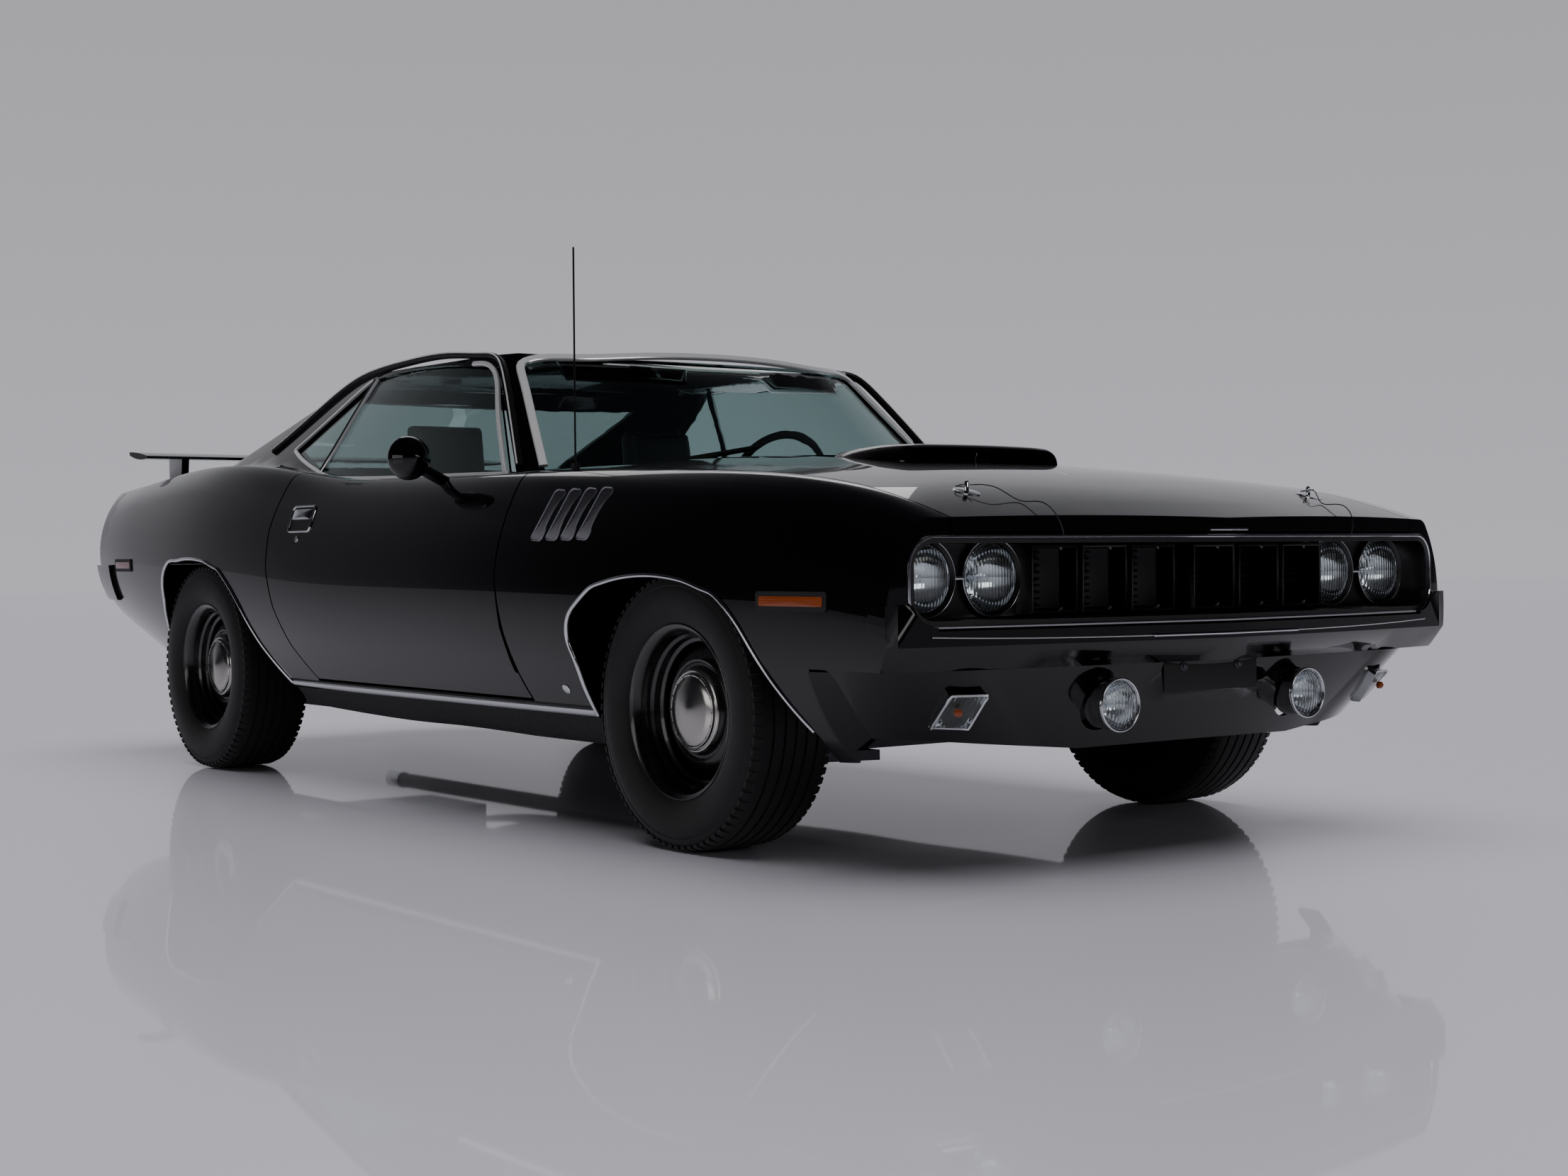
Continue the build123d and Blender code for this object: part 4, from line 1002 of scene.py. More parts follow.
def lampUnit(name, centre, r, barrel, rim):
    # silvered bowl, bulb, fluted glass, dark barrel and plated rim
    axis = (1, 0, 0)
    bowl = spun(name + "_bowl", [(-0.048, 0.0), (-0.047, 0.014), (-0.040, r * 0.52), (-0.026, r * 0.80),
                                 (-0.006, r * 0.97), (-0.002, r * 0.99), (-0.004, r), (-0.028, r * 0.84),
                                 (-0.044, r * 0.54), (-0.052, 0.0)], centre, axis, 72)
    bulb = spun("bulb", [(-0.046, 0.0), (-0.046, 0.008), (-0.030, 0.010), (-0.024, 0.008), (-0.021, 0.0)],
                centre, axis, 24)
    lens = spun(name + "_glass", [(0.013, 0.0), (0.0125, r * 0.30), (0.0105, r * 0.60), (0.006, r * 0.85),
                                  (0.0, r * 0.985), (-0.004, r * 0.985), (0.002, r * 0.85),
                                  (0.0065, r * 0.60), (0.0085, r * 0.30), (0.009, 0.0)], centre, axis, 72)
    tube = spun(name + "_barrel", [(-0.055, r * 0.7), (-0.055, r * 1.06), (0.002, r * 1.13),
                                   (0.006, r * 1.15), (0.006, r * 1.12), (0.0, r * 1.02),
                                   (-0.050, r * 0.9), (-0.055, r * 0.7)], centre, axis, 72)
    around = np.linspace(math.pi, -math.pi, 13)
    bead = [(0.004 + rim * math.sin(a), r * 1.135 + rim * math.cos(a)) for a in around]
    ring = spun(name + "_rim", [(-0.002, r * 1.115 + 0.001)] + bead, centre, axis, 96)
    bowl = joined(name + "_bowl", [bowl, bulb])
    return (bowl, bulbSilver), (lens, lampGlass), (tube, barrel), (ring, chrome)


for k, y in enumerate(noseForm["lampY"]):
    for piece, material in lampUnit("headlamp_%d" % (k + 1), (noseForm["lampX"], -y, noseForm["lampZ"]),
                                    noseForm["lampR"], grilleBlack, noseForm["lampRim"]):
        pair = twice(piece, material)
        if k == 0 and material is lampGlass:
            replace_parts(pair[0], "headlamps")
twice(slab("lamp_link", noseForm["linkLow"], noseForm["linkHigh"], 0.001), chrome)


def cavityVane(lo, hi, z0, z1):
    # a vane that sweeps from the back of the cavity to its inner edge
    back, forward = noseForm["vaneX"]
    curve = [(back + forward * t ** 2.2, lo + 0.004 + (hi - lo - 0.010) * t) for t in np.linspace(0, 1, 14)]
    face = [(x, y, z) for z in (z0 + 0.006, z1 - 0.006) for x, y in curve]
    behind = [(x - noseForm["vaneThick"], y, z) for x, y, z in face]
    return thickSheet("vane", face, behind, 1, len(curve) - 1)


# grille cavities: outlines, back vanes and slats
edges, vanes, rows = [], [], []
for y in noseForm["wellY"]:
    lo, hi = -y - noseForm["wellHalf"], -y + noseForm["wellHalf"]
    loop = roundedLoop(lo, hi, *noseForm["wellZ"], noseForm["wellRound"])
    edges.append(sweep("edge", atX(noseForm["wellX"], loop), (1, 0, 0), flatBar(0.0035, 0.0035), closed=True))
    vanes.append(cavityVane(lo, hi, *noseForm["wellZ"]))
twice(joined("cavity_edges", edges), trim)
twice(joined("cavity_vanes", vanes), grilleBlack)
for y in noseForm["wellY"]:
    (x0, x1), (y0, y1), h = noseForm["slatX"], noseForm["slatY"], noseForm["slatHalf"]
    slat = slab("slat", (x0, y0 - y, -h), (x1, y1 - y, h), 0.0015, 2)
    rows.append(rowOf("slats", slat, noseForm["slats"], (0.0, 0.0, noseForm["slatStep"]),
                      (0.0, 0.0, noseForm["firstSlat"]), grilleBlack))
twice(joined("cavity_slats", rows), grilleBlack)

# fog lamps and the bare plate with its bolts
fogForm = {
    "centre": (2.330, -0.307, 0.359), "r": 0.050, "rim": 0.0028,
    "housing": [(-0.075, 0.0), (-0.073, 0.030), (-0.060, 0.047), (-0.040, 0.054), (-0.004, 0.056),
                (0.001, 0.0565), (-0.002, 0.053), (-0.04, 0.050), (-0.07, 0.0)],
}
for piece, material in lampUnit("fog_lamp", fogForm["centre"], fogForm["r"], chrome, fogForm["rim"]):
    pair = twice(piece, material)
    if material is lampGlass:
        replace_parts(pair[0], "fog_lamps")
twice(spun("fog_housing", fogForm["housing"], fogForm["centre"], (1, 0, 0), 64), chrome)
plateForm = {
    "x": (2.3125, 2.3155), "half": 0.152, "z": (0.378, 0.447),
    "bolts": ((2.315, -0.089, 0.434), (2.315, 0.089, 0.434)),
    "bolt": [(0.0, 0.0), (0.0, 0.011), (0.0015, 0.0115), (0.003, 0.0105), (0.003, 0.0065), (0.0065, 0.006),
             (0.0075, 0.0045), (0.0075, 0.0)],
}
(x0, x1), (z0, z1) = plateForm["x"], plateForm["z"]
plate = slab("plate", (x0, -plateForm["half"], z0), (x1, plateForm["half"], z1), 0.0008)
finished(plate, trimBlack, "chassis")
bolts = [spun("bolt", plateForm["bolt"], place, (1, 0, 0), 24) for place in plateForm["bolts"]]
finished(joined("plate_bolts", bolts), dullSteel, "chassis")


def lensPlate(name, corners, depth, bulge=0.004, steps=10):
    # a lens over four corners in order, bulged outward, with its back
    a, b, c, d = (np.array(p, float) for p in corners)
    normal = unit(np.cross(b - a, d - a))
    front, back = [], []
    for u in np.arange(steps + 1) / steps:
        for v in np.arange(steps + 1) / steps:
            p = a * (1 - u) * (1 - v) + b * u * (1 - v) + c * u * v + d * (1 - u) * v
            front.append(p + normal * bulge * (4 * u * (1 - u)) ** 0.4 * (4 * v * (1 - v)) ** 0.4)
            back.append(p - normal * depth)
    return thickSheet(name, front, back, steps, steps)


print("front end ready")


# ---- small fittings on the skin ----
def ringFill(name, loop, place, lift, thick, bulge=0.0, rings=(1.0, 0.8, 0.6, 0.4, 0.2)):
    # a plate that follows a surface: loop in the surface's two coordinates; place gives points and normals
    centre = loop.mean(0)
    rows, normals = [], []
    for s in rings:
        p, normal = place(centre + (loop - centre) * s)
        rows.append(p + unit(normal) * (lift + bulge * (1 - s * s)))
        normals.append(unit(normal))
    n, m = len(loop), len(rings)
    middle, normal = place(centre[None, :])
    points = [q for row in rows for q in row] + [middle[0] + unit(normal[0]) * (lift + bulge)]
    points += [q for q in rows[0] - normals[0] * thick]
    faces = []
    for r in range(m - 1):
        faces += [(r * n + i, r * n + (i + 1) % n, (r + 1) * n + (i + 1) % n, (r + 1) * n + i)
                  for i in range(n)]
    faces += [((m - 1) * n + i, (m - 1) * n + (i + 1) % n, m * n) for i in range(n)]
    base = m * n + 1
    faces += [(i, base + i, base + (i + 1) % n, (i + 1) % n) for i in range(n)]
    faces.append(tuple(base + i for i in reversed(range(n))))
    return addMesh(name, points, faces)


def onBodySide(p):
    q = onSide(p[:, 0], p[:, 1])
    return q, bodyNormal(q)


def onBodyTop(p):
    q = onTop(p[:, 0], p[:, 1])
    return q, bodyNormal(q)


fitForm = {
    "handle": (-0.503, -0.376, 0.806, 0.836),
    "handlePocket": (-0.511, -0.368, 0.770, 0.845),
    "markers": (("front", (1.852, 2.062, 0.579, 0.600)), ("rear", (-2.072, -1.893, 0.660, 0.682))),
    "oval": (1.014, 0.362), "ovalHalf": (0.016, 0.011),
    "keyLock": (-0.440, 0.748),
    "lock": [(-0.002, 0.0), (-0.002, 0.010), (0.002, 0.0098), (0.003, 0.0085), (0.003, 0.0)],
}
doors = ("right_door", "left_door")
loop = roundedLoop(*fitForm["handlePocket"], 0.014)
twice(ringFill("handle_pocket", loop, onBodySide, 0.0006, 0.002), grilleBlack, doors)
frameRing = sweep("ring", *onBodySide(loop), halfRound(0.007, 0.0045), closed=True)
flap = ringFill("flap", roundedLoop(*fitForm["handle"], 0.008), onBodySide, 0.002, 0.004, 0.005)
twice(joined("door_handle", [frameRing, flap]), chrome, doors)
lock = onSide(*fitForm["keyLock"])
twice(spun("door_lock", fitForm["lock"], lock[0], bodyNormal(lock)[0], 28), chrome, doors)
for (end, (x0, x1, z0, z1)), lens in zip(fitForm["markers"], (amberLens, redLens)):
    surround = roundedLoop(x0 - 0.012, x1 + 0.012, z0 - 0.011, z1 + 0.011, 0.009)
    twice(ringFill("marker_bezel_" + end, surround, onBodySide, 0.0035, 0.006), trimBlack)
    window = roundedLoop(x0, x1, z0, z1, 0.005)
    pair = twice(ringFill("marker_lens_" + end, window, onBodySide, 0.0045, 0.003, 0.001), lens)
    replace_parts(pair[0], "marker_lamps")

louvreForm = {
    "first": 0.966, "step": 0.0685, "count": 4, "z": 0.791,
    "half": (0.0185, 0.062), "round": 0.010,
    "lean": 0.0235,           # how far the top stands ahead of the middle
    "thick": 0.004, "raise": 0.0035, "sink": 0.0045, "crown": 0.0040,
    "edge": 0.0016, "edgeOut": 0.0010,
    "rings": (1.0, 0.8, 0.6, 0.4, 0.2),
}


def louvre(x):
    # one gill: a slanted blade with rounded corners whose front edge sinks into the fender
    form = louvreForm
    across, up = form["half"]
    flat = roundedCorners(-across, across, -up, up, form["round"])
    lifted = form["raise"] - flat[:, 0] / across * form["sink"]
    at = np.stack([x + flat[:, 0] + flat[:, 1] * form["lean"] / up, form["z"] + flat[:, 1]], 1)
    blade = ringFill("louvre", at, onBodySide, 0.0, form["thick"], rings=form["rings"])
    place, normal = onBodySide(at)
    count = len(at)
    for ring, s in enumerate(form["rings"]):
        for i in range(count):
            lift = float((lifted[i] - form["raise"]) * s + form["crown"])
            blade.data.vertices[ring * count + i].co += Vector(normal[i]) * lift
    blade.data.vertices[len(form["rings"]) * count].co += Vector(normal.mean(0)) * form["crown"]
    line = place + normal * (lifted + form["edgeOut"])[:, None]
    edge = sweep("louvre_edge", line, normal, roundBar(form["edge"], 8), closed=True)
    return joined("louvre", [blade, edge])


def oval(centre, halves, points=32):
    a = np.linspace(0, 2 * math.pi, points, endpoint=False)
    return np.array(centre) + np.stack([np.cos(a), np.sin(a)], 1) * halves


gills = [louvre(louvreForm["first"] + louvreForm["step"] * k) for k in range(louvreForm["count"])]
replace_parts(twice(joined("fender_louvres", gills), louvreGrey)[0], "fender_gills")
stud = oval(fitForm["oval"], fitForm["ovalHalf"])
twice(ringFill("side_badge_stud", stud, onBodySide, 0.002, 0.003, 0.002), chrome)

# hood pins: oval plates, posts, clips and lanyard wires; the clip and the wire run from the plate's middle
pinForm = {
    "at": (2.127, -0.561), "plateHalf": (0.036, 0.024), "lip": (2.245, -0.500),
    "post": [(0.0, 0.0), (0.0, 0.0055), (0.020, 0.0055), (0.024, 0.004), (0.026, 0.0)],
    "clip": [(0.022, 0.020, 0.016), (0.004, 0.008, 0.016), (-0.010, -0.010, 0.016), (-0.022, -0.012, 0.014),
             (-0.024, 0.0, 0.013), (-0.008, 0.004, 0.014), (0.020, 0.004, 0.016)],
    "clipR": 0.0014,
    "wireStart": [(0.020, 0.018, 0.016), (0.050, 0.035, 0.010)],
    "wireAtLip": [(-0.02, 0.004, 0.009), (0.045, 0.010, 0.003)],
    "wireOnNose": [(0.478, 0.006, 0.752), (0.470, 0.007, 0.727)],
    "wireR": 0.0012,
}
hood2 = ("hood_panel", "hood_panel")
top, lip = onTop(*pinForm["at"])[0], onTop(*pinForm["lip"])[0]
pinPlate = ringFill("pin_plate", oval(pinForm["at"], pinForm["plateHalf"]), onBodyTop, 0.002, 0.003, 0.0015)
post = spun("pin_post", pinForm["post"], top, (0, 0, 1), 20)
clipPath = smoothPath([top + step for step in pinForm["clip"]], 60)
clip = sweep("clip", clipPath, (0, 0, 1), roundBar(pinForm["clipR"], 8))
twice(joined("hood_pin", [pinPlate, post, clip]), chrome, hood2)
wirePath = [top + step for step in pinForm["wireStart"]] + [lip + step for step in pinForm["wireAtLip"]]
wirePath += [np.array((noseX(y) + ahead, -y, z)) for y, ahead, z in pinForm["wireOnNose"]]
wire = sweep("lanyard", smoothPath(wirePath, 70), (1, 0, 1), roundBar(pinForm["wireR"], 8))
twice(wire, dullSteel, hood2)

# wipers: each blade's ends in (y, z) on the windshield; the arm runs below it, further out
wiperForm = {
    "blades": (((-0.455, 0.926), (-0.080, 0.985)), ((0.130, 0.945), (0.520, 0.968))),
    "bladeOut": 0.006, "armOut": 0.014, "armShare": 0.9, "armBelow": 0.012, "armPoints": 16,
}
for k, (start, end) in enumerate(wiperForm["blades"]):
    run = np.linspace(start, end, 24)
    line, out = screenFace(run)
    blade = sweep("blade", line + unit(out) * wiperForm["bladeOut"], out, flatBar(0.010, 0.008, 0.006))
    share = wiperForm["armShare"]
    line, out = screenFace([(y * share + (1 - share) * start[0], z - wiperForm["armBelow"])
                            for y, z in run[:wiperForm["armPoints"]]])
    arm = sweep("arm", line + unit(out) * wiperForm["armOut"], out, flatBar(0.012, 0.006, 0.004))
    finished(joined("wiper_%d" % (k + 1), [blade, arm]), trimBlack, "chassis")

# mirror faces look rearwards
mirrorForm = {"centre": (0.3172, -0.966, 0.958), "profile": [(0.0, 0.0), (0.0, 0.051), (0.0012, 0.052),
                                                             (0.003, 0.055), (0.003, 0.0)]}
twice(spun("mirror_glass", mirrorForm["profile"], mirrorForm["centre"], (1, 0, 0), 48), bulbSilver, doors)

# turn lamps in the valance: reflector, bulb and clear lens
turnForm = {"corners": [(-0.700, 0.322), (-0.632, 0.318), (-0.626, 0.392), (-0.706, 0.392)],
            "reflectorOut": 0.003, "lensOut": 0.019, "bezelOut": 0.011,
            "bezel": [(-0.010, 0.002), (0.010, 0.002), (0.010, -0.0025), (-0.010, -0.0025)],
            "bulb": [(-0.004, 0.0), (-0.004, 0.009), (0.004, 0.0085), (0.008, 0.005), (0.009, 0.0)],
            "bulbFrom": (0.006, 0.020, -0.036),
            "topZ": 0.446, "footZ": 0.230,
            "topPlan": ((2.085, -0.872), (2.218, -0.800), (2.276, -0.640), (2.318, 0.0)),
            "footPlan": ((1.990, -0.722), (2.122, -0.610), (2.205, -0.400), (2.262, 0.0))}


def valanceX(y, z):
    # the valance's face: straight between two plan outlines, each a corner arc and a shallow front
    k = (z - turnForm["footZ"]) / (turnForm["topZ"] - turnForm["footZ"])
    runs = []
    for key in ("footPlan", "topPlan"):
        a, b, c, d = turnForm[key]
        corner = arcRun((a, b, c), 60)
        front = np.stack([np.linspace(c[0], d[0], 60), np.linspace(c[1], d[1], 60)], 1)
        runs.append(np.vstack([corner, front[1:]]))
    run = runs[0] + (runs[1] - runs[0]) * k
    return float(np.interp(-abs(y), run[:, 1], run[:, 0]))


def turnCorners(out):
    return [(valanceX(y, z) + out, y - out * 0.45, z) for y, z in turnForm["corners"]]


twice(lensPlate("turn_reflector", turnCorners(turnForm["reflectorOut"]), 0.003, 0.0), bulbSilver)
twice(lensPlate("turn_lens", turnCorners(turnForm["lensOut"]), 0.003, 0.005), lampGlass)
corners = np.array(turnCorners(turnForm["bezelOut"]))
edge = [p + (q - p) * t for p, q in zip(corners, np.roll(corners, -1, 0)) for t in np.linspace(0.04, 0.96, 8)]
twice(sweep("turn_bezel", edge, (1, -0.45, 0), turnForm["bezel"], closed=True), chrome)
bulbAt = np.array(turnCorners(0.008)[3]) + turnForm["bulbFrom"]
twice(spun("turn_bulb", turnForm["bulb"], bulbAt, (1, 0, 0), 24), amberLens)

# a return sheet that blends the fender's foot into the valance's end
returnForm = {"fenderX": 1.986, "valanceX": 2.045, "fenderZ": (0.254, 0.440), "thickness": 0.003, "steps": 15,
              "valance": [(0.300, -0.757), (0.364, -0.815), (0.420, -0.855), (0.440, -0.868)]}
outerZ = np.linspace(*returnForm["fenderZ"], returnForm["steps"])
outer = onSide(returnForm["fenderX"], outerZ) - (0.0, 0.001, 0.0)
ends = np.array(returnForm["valance"])
innerZ = np.linspace(ends[0, 0], ends[-1, 0], returnForm["steps"])
inner = atX(returnForm["valanceX"], np.column_stack([np.interp(innerZ, ends[:, 0], ends[:, 1]), innerZ]))
front = [a + (b - a) * k for a, b in zip(outer, inner) for k in (0.0, 0.5, 1.0)]
back = [p + (-returnForm["thickness"], returnForm["thickness"], 0.0) for p in front]
twice(thickSheet("valance_return", front, back, returnForm["steps"] - 1, 2), paint)
print("fittings ready")


# ---- cabin ----
def seatCushion(low, high, crown, edge, seams, lean, steps):
    # one padded cushion: a rounded block that swells in the middle, with seam channels across it;
    # the first axis is its thickness, leaned back by an angle about its foot
    nx, ny = steps
    lo, hi = np.asarray(low, float), np.asarray(high, float)
    width, height = hi[1] - lo[1], hi[2] - lo[2]
    back, front = [], []
    for i in range(ny + 1):
        for j in range(nx + 1):
            u, v = j / nx, i / ny
            e = min(1.0, min(u, 1 - u) * width / edge, min(v, 1 - v) * height / edge)
            roundOff = edge * (1 - math.sqrt(max(0.0, 1 - (1 - e) ** 2)))
            puff = crown * (math.sin(math.pi * u) * math.sin(math.pi * v)) ** 0.6
            across = [(v - s / (seams + 1)) * height / seatForm["seamHalf"] for s in range(1, seams + 1)]
            groove = seatForm["seamDepth"] * sum(math.exp(-d * d) for d in across)
            y, z = lo[1] + u * width, lo[2] + v * height
            back.append((lo[0] + roundOff * 0.5, y, z))
            front.append((hi[0] - roundOff + puff - groove, y, z))
    turn = np.array([[math.cos(lean), 0, -math.sin(lean)], [0, 1, 0], [math.sin(lean), 0, math.cos(lean)]])
    pivot = np.array((lo[0], 0, lo[2]))
    back, front = ([(np.asarray(p) - pivot) @ turn.T + pivot for p in layer] for layer in (back, front))
    obj = thickSheet("pad", back, front, ny, nx)
    smooth = obj.modifiers.new("softness", "SUBSURF")
    smooth.levels = smooth.render_levels = 1
    baked(obj)
    obj.data.polygons.foreach_set("use_smooth", [True] * len(obj.data.polygons))
    return obj


def layFlat(obj, x, z):
    # turns a cushion made upright so that its face looks up
    for v in obj.data.vertices:
        t, y, h = v.co
        v.co = (x - h, y, z + t)
    obj.data.flip_normals()
    return obj


seatForm = {
    "seamHalf": 0.010, "seamDepth": 0.007,
    # lies flat or stands; y from and to; x and z of its foot; thickness; length; crown; edge; seams; lean;
    # grid
    "front": [
        ("lies", -0.570, -0.220, 0.108, 0.345, 0.118, 0.500, 0.016, 0.035, 5, 0.0, (26, 34)),
        ("lies", -0.628, -0.562, 0.112, 0.342, 0.132, 0.510, 0.008, 0.030, 0, 0.0, (10, 34)),
        ("lies", -0.228, -0.162, 0.112, 0.342, 0.132, 0.510, 0.008, 0.030, 0, 0.0, (10, 34)),
        ("stands", -0.570, -0.220, -0.466, 0.445, 0.094, 0.490, 0.014, 0.035, 5, 0.155, (26, 34)),
        ("stands", -0.517, -0.273, -0.536, 0.880, 0.096, 0.215, 0.010, 0.035, 0, 0.110, (18, 18)),
        ("stands", -0.626, -0.562, -0.470, 0.440, 0.108, 0.475, 0.008, 0.030, 0, 0.155, (10, 34)),
        ("stands", -0.228, -0.164, -0.470, 0.440, 0.108, 0.475, 0.008, 0.030, 0, 0.155, (10, 34))],
    "rear": [
        ("lies", -0.552, 0.552, -0.600, 0.445, 0.105, 0.380, 0.016, 0.040, 4, 0.0, (60, 26)),
        ("stands", -0.552, 0.552, -1.040, 0.470, 0.092, 0.415, 0.014, 0.040, 4, 0.20, (60, 28))],
}


def seatOf(name, rows):
    pads = []
    for way, y0, y1, x, z, thick, length, *softness in rows:
        if way == "lies":
            pads.append(layFlat(seatCushion((0.0, y0, 0.0), (thick, y1, length), *softness), x, z))
        else:
            pads.append(seatCushion((x, y0, z), (x + thick, y1, z + length), *softness))
    return joined(name, pads)


pair = twice(seatOf("front_seat", seatForm["front"]), vinyl)
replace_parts(pair[0], "front_seats")
rear = finished(seatOf("rear_bench", seatForm["rear"]), vinyl, "chassis", stands=("rear_seat",))

# the steering wheel: rim, hub pad and three flat spokes
steeringForm = {
    "hub": (0.262, 0.370, 0.862), "columnFoot": (0.690, 0.370, 0.720),
    "rimAbove": 0.060, "rimRadius": 0.185, "rimHalf": (0.0125, 0.0105),
    "pad": [(-0.058, 0.0), (-0.058, 0.036), (-0.020, 0.042), (-0.004, 0.050), (0.010, 0.048), (0.016, 0.040),
            (0.018, 0.0)],
    "spokeAngles": (0, 180, 270), "spokeFrom": 0.030, "spokeTo": 0.180, "spokeDish": 0.012,
    "spoke": [(0.002, 0.014), (0.002, -0.014), (-0.002, -0.014), (-0.002, 0.014)],
}
hubAt = np.array(steeringForm["hub"])
wheelWay = unit(hubAt - np.array(steeringForm["columnFoot"]))
wheelMid = hubAt + wheelWay * steeringForm["rimAbove"]
sideWay = np.array((0.0, 1.0, 0.0))
upWay = np.cross(sideWay, wheelWay)
rimRadius = steeringForm["rimRadius"]
ringPath = np.array([wheelMid + (sideWay * math.cos(t) + upWay * math.sin(t)) * rimRadius
                     for t in np.linspace(0, 2 * math.pi, 96, endpoint=False)])
rimSection = oval((0, 0), steeringForm["rimHalf"], 14)
rimPiece = sweep("rim", ringPath, ringPath - wheelMid, rimSection, closed=True)
finished(rimPiece, trimBlack, "hand_wheel", stands=("steering_wheel",)).name = "steering_rim"
finished(spun("steering_hub", steeringForm["pad"], wheelMid, wheelWay, 48), trimBlack, "hand_wheel")
spokes = []
for angle in steeringForm["spokeAngles"]:
    way = sideWay * math.cos(math.radians(angle)) + upWay * math.sin(math.radians(angle))
    reach = np.linspace(steeringForm["spokeFrom"], steeringForm["spokeTo"], 12)
    line = [wheelMid + way * r - wheelWay * steeringForm["spokeDish"] * (1 - r / rimRadius) for r in reach]
    spokes.append(sweep("spoke", line, wheelWay, steeringForm["spoke"]))
finished(joined("steering_spokes", spokes), dullSteel, "hand_wheel")
print("cabin ready")

# ---- scoop, rear end and the dashboard's dials ----
scoopForm = {
    # x, half width, top, corner radius
    "sections": [(1.122, 0.150, 0.926, 0.020), (1.180, 0.205, 0.938, 0.028), (1.260, 0.244, 0.950, 0.034),
                 (1.350, 0.256, 0.958, 0.038), (1.450, 0.260, 0.961, 0.040), (1.535, 0.262, 0.958, 0.040),
                 (1.552, 0.261, 0.954, 0.038), (1.560, 0.258, 0.949, 0.035)],
    "foot": 0.876, "lip": 0.012, "depth": 0.115, "divider": 0.022, "dividerZ": (0.900, 0.944),
    # the mouth's inner loops: x from the lip, extra inset, foot
    "mouth": ((0.001, 0.0, 0.903), (-0.006, 0.003, 0.906), (-0.115, 0.010, 0.910)),
}


def scoopLoop(x, w, top, r, foot):
    run = [(-w, foot)]
    run += [(-w + r - r * math.cos(t), top - r + r * math.sin(t)) for t in np.linspace(0, math.pi / 2, 8)]
    run += [(y, top + 0.004 * (1 - (y / w) ** 2)) for y in np.linspace(-w + r, w - r, 12)[1:-1]]
    run += [(w - r + r * math.sin(t), top - r + r * math.cos(t)) for t in np.linspace(0, math.pi / 2, 8)]
    run += [(w, foot)] + [(y, foot) for y in np.linspace(w, -w, 8)[1:-1]]
    return [(x, y, z) for y, z in run]


loops = [scoopLoop(x, w, top, r, scoopForm["foot"]) for x, w, top, r in scoopForm["sections"]]
x, w, top, r = scoopForm["sections"][-1]
lip = scoopForm["lip"]
for dx, inset, foot in scoopForm["mouth"]:
    loops.append(scoopLoop(x + dx, w - lip - inset, top - lip - inset, r - lip * 0.6, foot))
m = len(loops[0])
points = [p for run in loops for p in run]
faces = [(i * m + k, i * m + (k + 1) % m, (i + 1) * m + (k + 1) % m, (i + 1) * m + k)
         for i in range(len(loops) - 1) for k in range(m)]
faces += [tuple(range(m)), tuple((len(loops) - 1) * m + k for k in reversed(range(m)))]
scoop = addMesh("scoop_shell", points, faces)
z0, z1 = scoopForm["dividerZ"]
half = scoopForm["divider"]
bar = slab("divider", (x - scoopForm["depth"], -half, z0), (x - 0.002, half, z1), 0.004)
finished(joined("scoop_shell", [scoop, bar]), paint, nodes["shaker_scoop"]["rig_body"],
         stands=("shaker_scoop",))

rearForm = {
    "lampX": -2.3135, "lamp": (0.120, 0.640, 0.712, 0.830), "pipe": (-2.322, -0.330, 0.1937),
    "tip": [(-0.090, 0.0285), (-0.090, 0.0315), (0.008, 0.0325), (0.010, 0.0315), (0.008, 0.0300),
            (-0.080, 0.0290), (-0.080, 0.0)],
}
y0, y1, z0, z1 = rearForm["lamp"]
loop = roundedLoop(-y1 - 0.004, -y0 + 0.004, z0 - 0.004, z1 + 0.004, 0.016)
bezel = sweep("tail_lamp_bezel", atX(rearForm["lampX"], loop), (-1, 0, 0), halfRound(0.012, 0.006),
              closed=True)
twice(bezel, chrome)
twice(spun("exhaust_tip", rearForm["tip"], rearForm["pipe"], (-1, 0, 0), 48), chrome)

dialForm = {
    "x": 0.462, "y": (0.205, 0.315, 0.425, 0.535), "z": 0.800,
    "ring": [(0.0, 0.039), (-0.006, 0.041), (-0.006, 0.045), (0.010, 0.045)],
    "binnacle": ((0.466, 0.145, 0.742), (0.520, 0.595, 0.858)),
}
dials = [spun("dial", dialForm["ring"], (dialForm["x"], y, dialForm["z"]), (1, 0, 0), 40)
         for y in dialForm["y"]]
finished(joined("dial_rings", dials), chrome, "chassis")
finished(slab("binnacle", *dialForm["binnacle"], 0.010), trimBlack, "chassis")
print("rear end ready")

# ---- camera, lights and floor ----
cameraForm = {"place": (5.71817, -3.76230, 0.69116), "yaw": 143.0043, "pitch": -0.88127, "roll": -0.50291,
              "lens": 3133.3 * 36 / 2212}
studioForm = {
    "ceiling": 2.7, "ceilingSpread": 70,
    # name, place, size, watts, what it aims at
    "cards": [("overhead_card", (-2.4, 1.4, 3.3), (3.2, 0.9), 13, (1.4, -0.7, 0.9)),
              ("front_card", (9.5, 0.5, 3.2), (4.0, 1.6), 60, (3.0, 0.0, 0.5)),
              ("side_card", (0.2, -8.5, 1.6), (7.5, 1.8), 60, (0.0, 0.0, 0.7))],
    "floorHalf": 40,
}


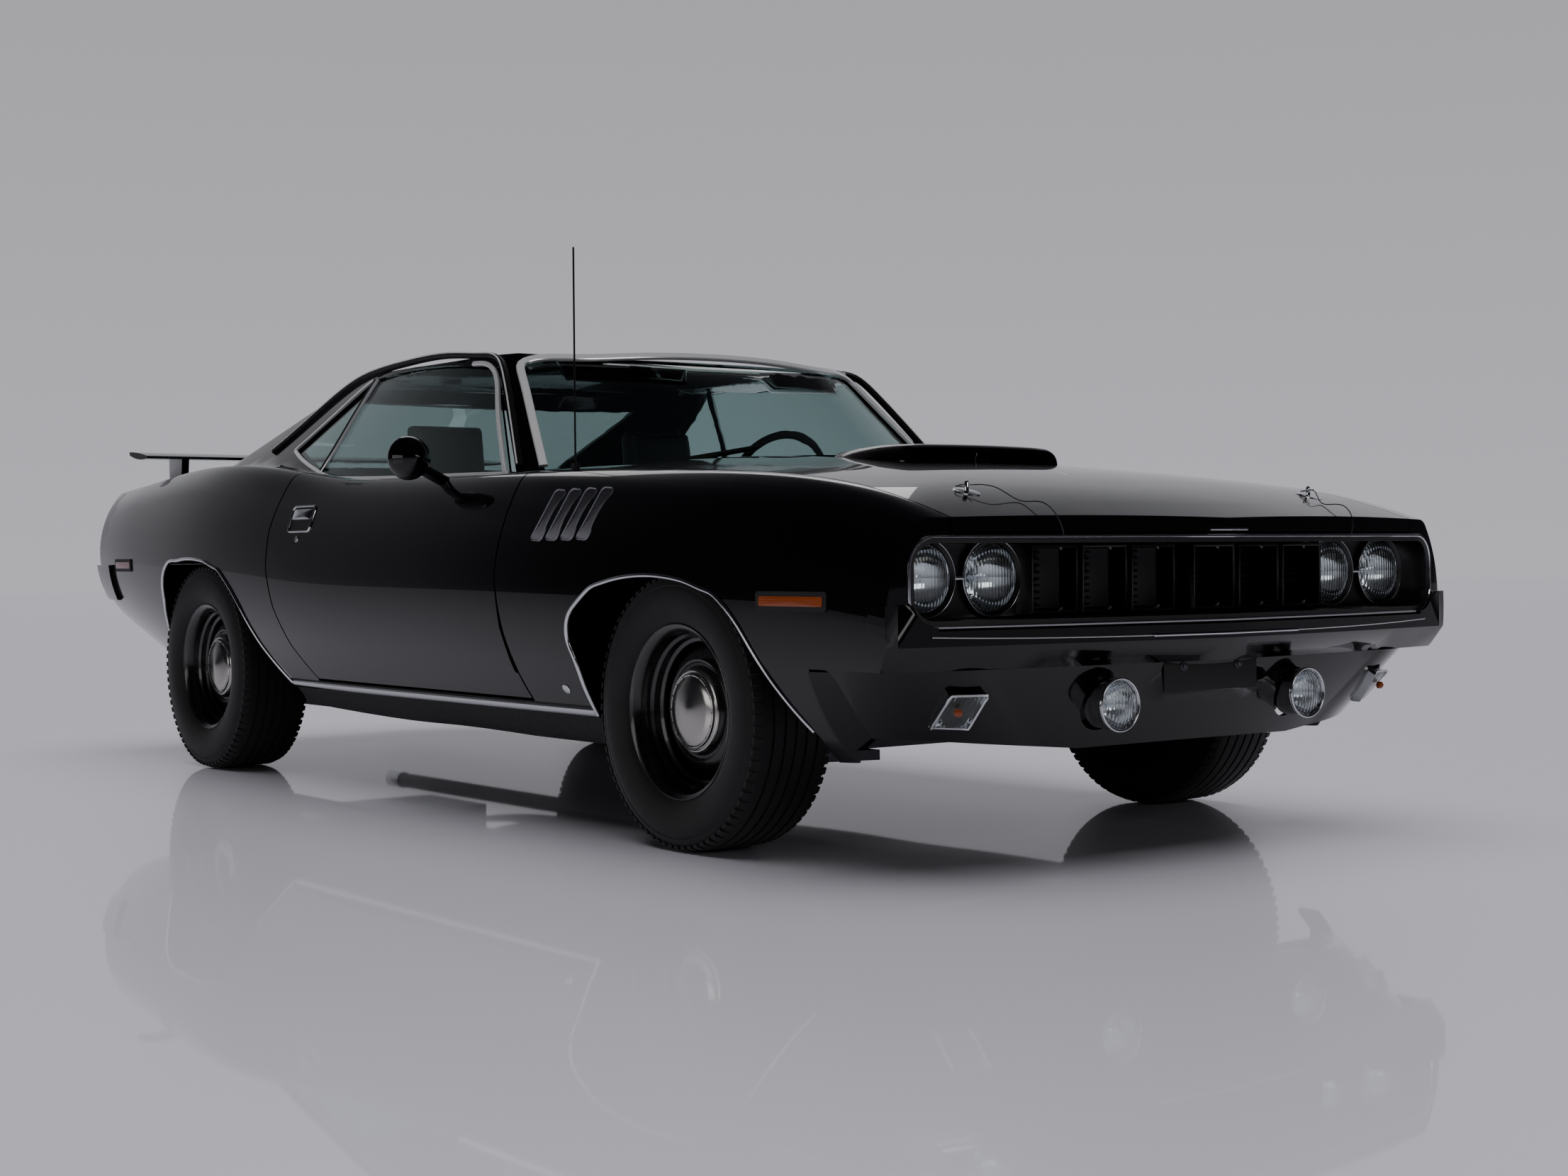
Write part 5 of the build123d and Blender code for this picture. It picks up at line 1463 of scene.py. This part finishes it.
def setCamera():
    yaw, pitch, roll = (math.radians(cameraForm[k]) for k in ("yaw", "pitch", "roll"))
    forward = Vector((math.cos(yaw) * math.cos(pitch), math.sin(yaw) * math.cos(pitch), math.sin(pitch)))
    right = Vector((math.sin(yaw), -math.cos(yaw), 0.0))
    up = right.cross(forward)
    r2 = right * math.cos(roll) + up * math.sin(roll)
    u2 = up * math.cos(roll) - right * math.sin(roll)
    data = bpy.data.cameras.new("camera")
    data.lens, data.sensor_width, data.clip_end = cameraForm["lens"], 36.0, 200.0
    camera = bpy.data.objects.new("camera", data)
    bpy.context.scene.collection.objects.link(camera)
    turn = Matrix((r2, u2, -forward)).transposed().to_4x4()
    camera.matrix_world = Matrix.Translation(cameraForm["place"]) @ turn
    bpy.context.scene.camera = camera


def softbox(name, place, size, watts, aim):
    data = bpy.data.lights.new(name, "AREA")
    data.shape, data.size, data.size_y, data.energy = "RECTANGLE", size[0], size[1], watts
    lamp = bpy.data.objects.new(name, data)
    bpy.context.scene.collection.objects.link(lamp)
    lamp.location = place
    lamp.rotation_mode = "QUATERNION"
    lamp.rotation_quaternion = (Vector(aim) - Vector(place)).to_track_quat("-Z", "Y")


def studioWorld():
    # a pale backdrop that darkens overhead; the paint and chrome reflect it from behind the car only,
    # and a dim room from the other sides
    world = bpy.data.worlds.new("studio")
    bpy.context.scene.world = world
    world.use_nodes = True
    tree = world.node_tree
    back = tree.nodes["Background"]
    way = addNode(tree, "ShaderNodeTexCoord").outputs["Generated"]
    split = addNode(tree, "ShaderNodeSeparateXYZ", {}, Vector=way)
    rise = addNode(tree, "ShaderNodeMapRange", {"From Min": -0.02, "From Max": 0.55},
                   Value=split.outputs["Z"])
    ramp = addNode(tree, "ShaderNodeValToRGB", {}, Fac=rise.outputs["Result"])
    ramp.color_ramp.elements[0].color = colour("#c3c2ca")
    ramp.color_ramp.elements[1].color = colour("#3c3d42")
    ramp.color_ramp.elements.new(0.60).color = colour("#acacb0")
    towards = addNode(tree, "ShaderNodeVectorMath", {"operation": "DOT_PRODUCT"}, i0=way)
    towards.inputs[1].default_value = (-0.80, 0.60, 0.0)
    share = addNode(tree, "ShaderNodeMapRange", {"interpolation_type": "SMOOTHSTEP", "From Min": 0.30,
                                                 "From Max": 0.90}, Value=towards.outputs["Value"])
    path = addNode(tree, "ShaderNodeLightPath").outputs
    seen = addNode(tree, "ShaderNodeMath", {"operation": "MAXIMUM"}, i0=path["Is Camera Ray"],
                   i1=path["Is Transmission Ray"]).outputs["Value"]
    whole = addNode(tree, "ShaderNodeMath", {"operation": "MAXIMUM"}, i0=seen, i1=share.outputs["Result"])
    mixed = addNode(tree, "ShaderNodeMix", {"data_type": "RGBA"}, Factor=whole.outputs["Value"],
                    i7=ramp.outputs["Color"])
    mixed.inputs[6].default_value = colour("#19181d")
    tree.links.new(mixed.outputs[2], back.inputs["Color"])
    back.inputs["Strength"].default_value = 1.0


def studioFloor():
    # a polished pale floor that mirrors the car faintly
    material = newMaterial("polishedFloor", Base_Color=colour("#cfced8"), Roughness=0.4, Coat_Weight=0.6,
                           Coat_Roughness=0.03)[0]
    h = studioForm["floorHalf"]
    floor = addMesh("studio_floor", [(-h, -h, 0), (h, -h, 0), (h, h, 0), (-h, h, 0)], [(0, 1, 2, 3)])
    floor.data.materials.append(material)


def ceilingLight():
    # a broad overhead light that fills the shade; neither reflections nor the windows show it
    data = bpy.data.lights.new("ceiling", "SUN")
    data.energy, data.angle = studioForm["ceiling"], math.radians(studioForm["ceilingSpread"])
    lamp = bpy.data.objects.new("ceiling", data)
    bpy.context.scene.collection.objects.link(lamp)
    lamp.visible_glossy = lamp.visible_transmission = False


setCamera()
studioWorld()
ceilingLight()
for card in studioForm["cards"]:
    softbox(*card)
studioFloor()
print("stage ready")
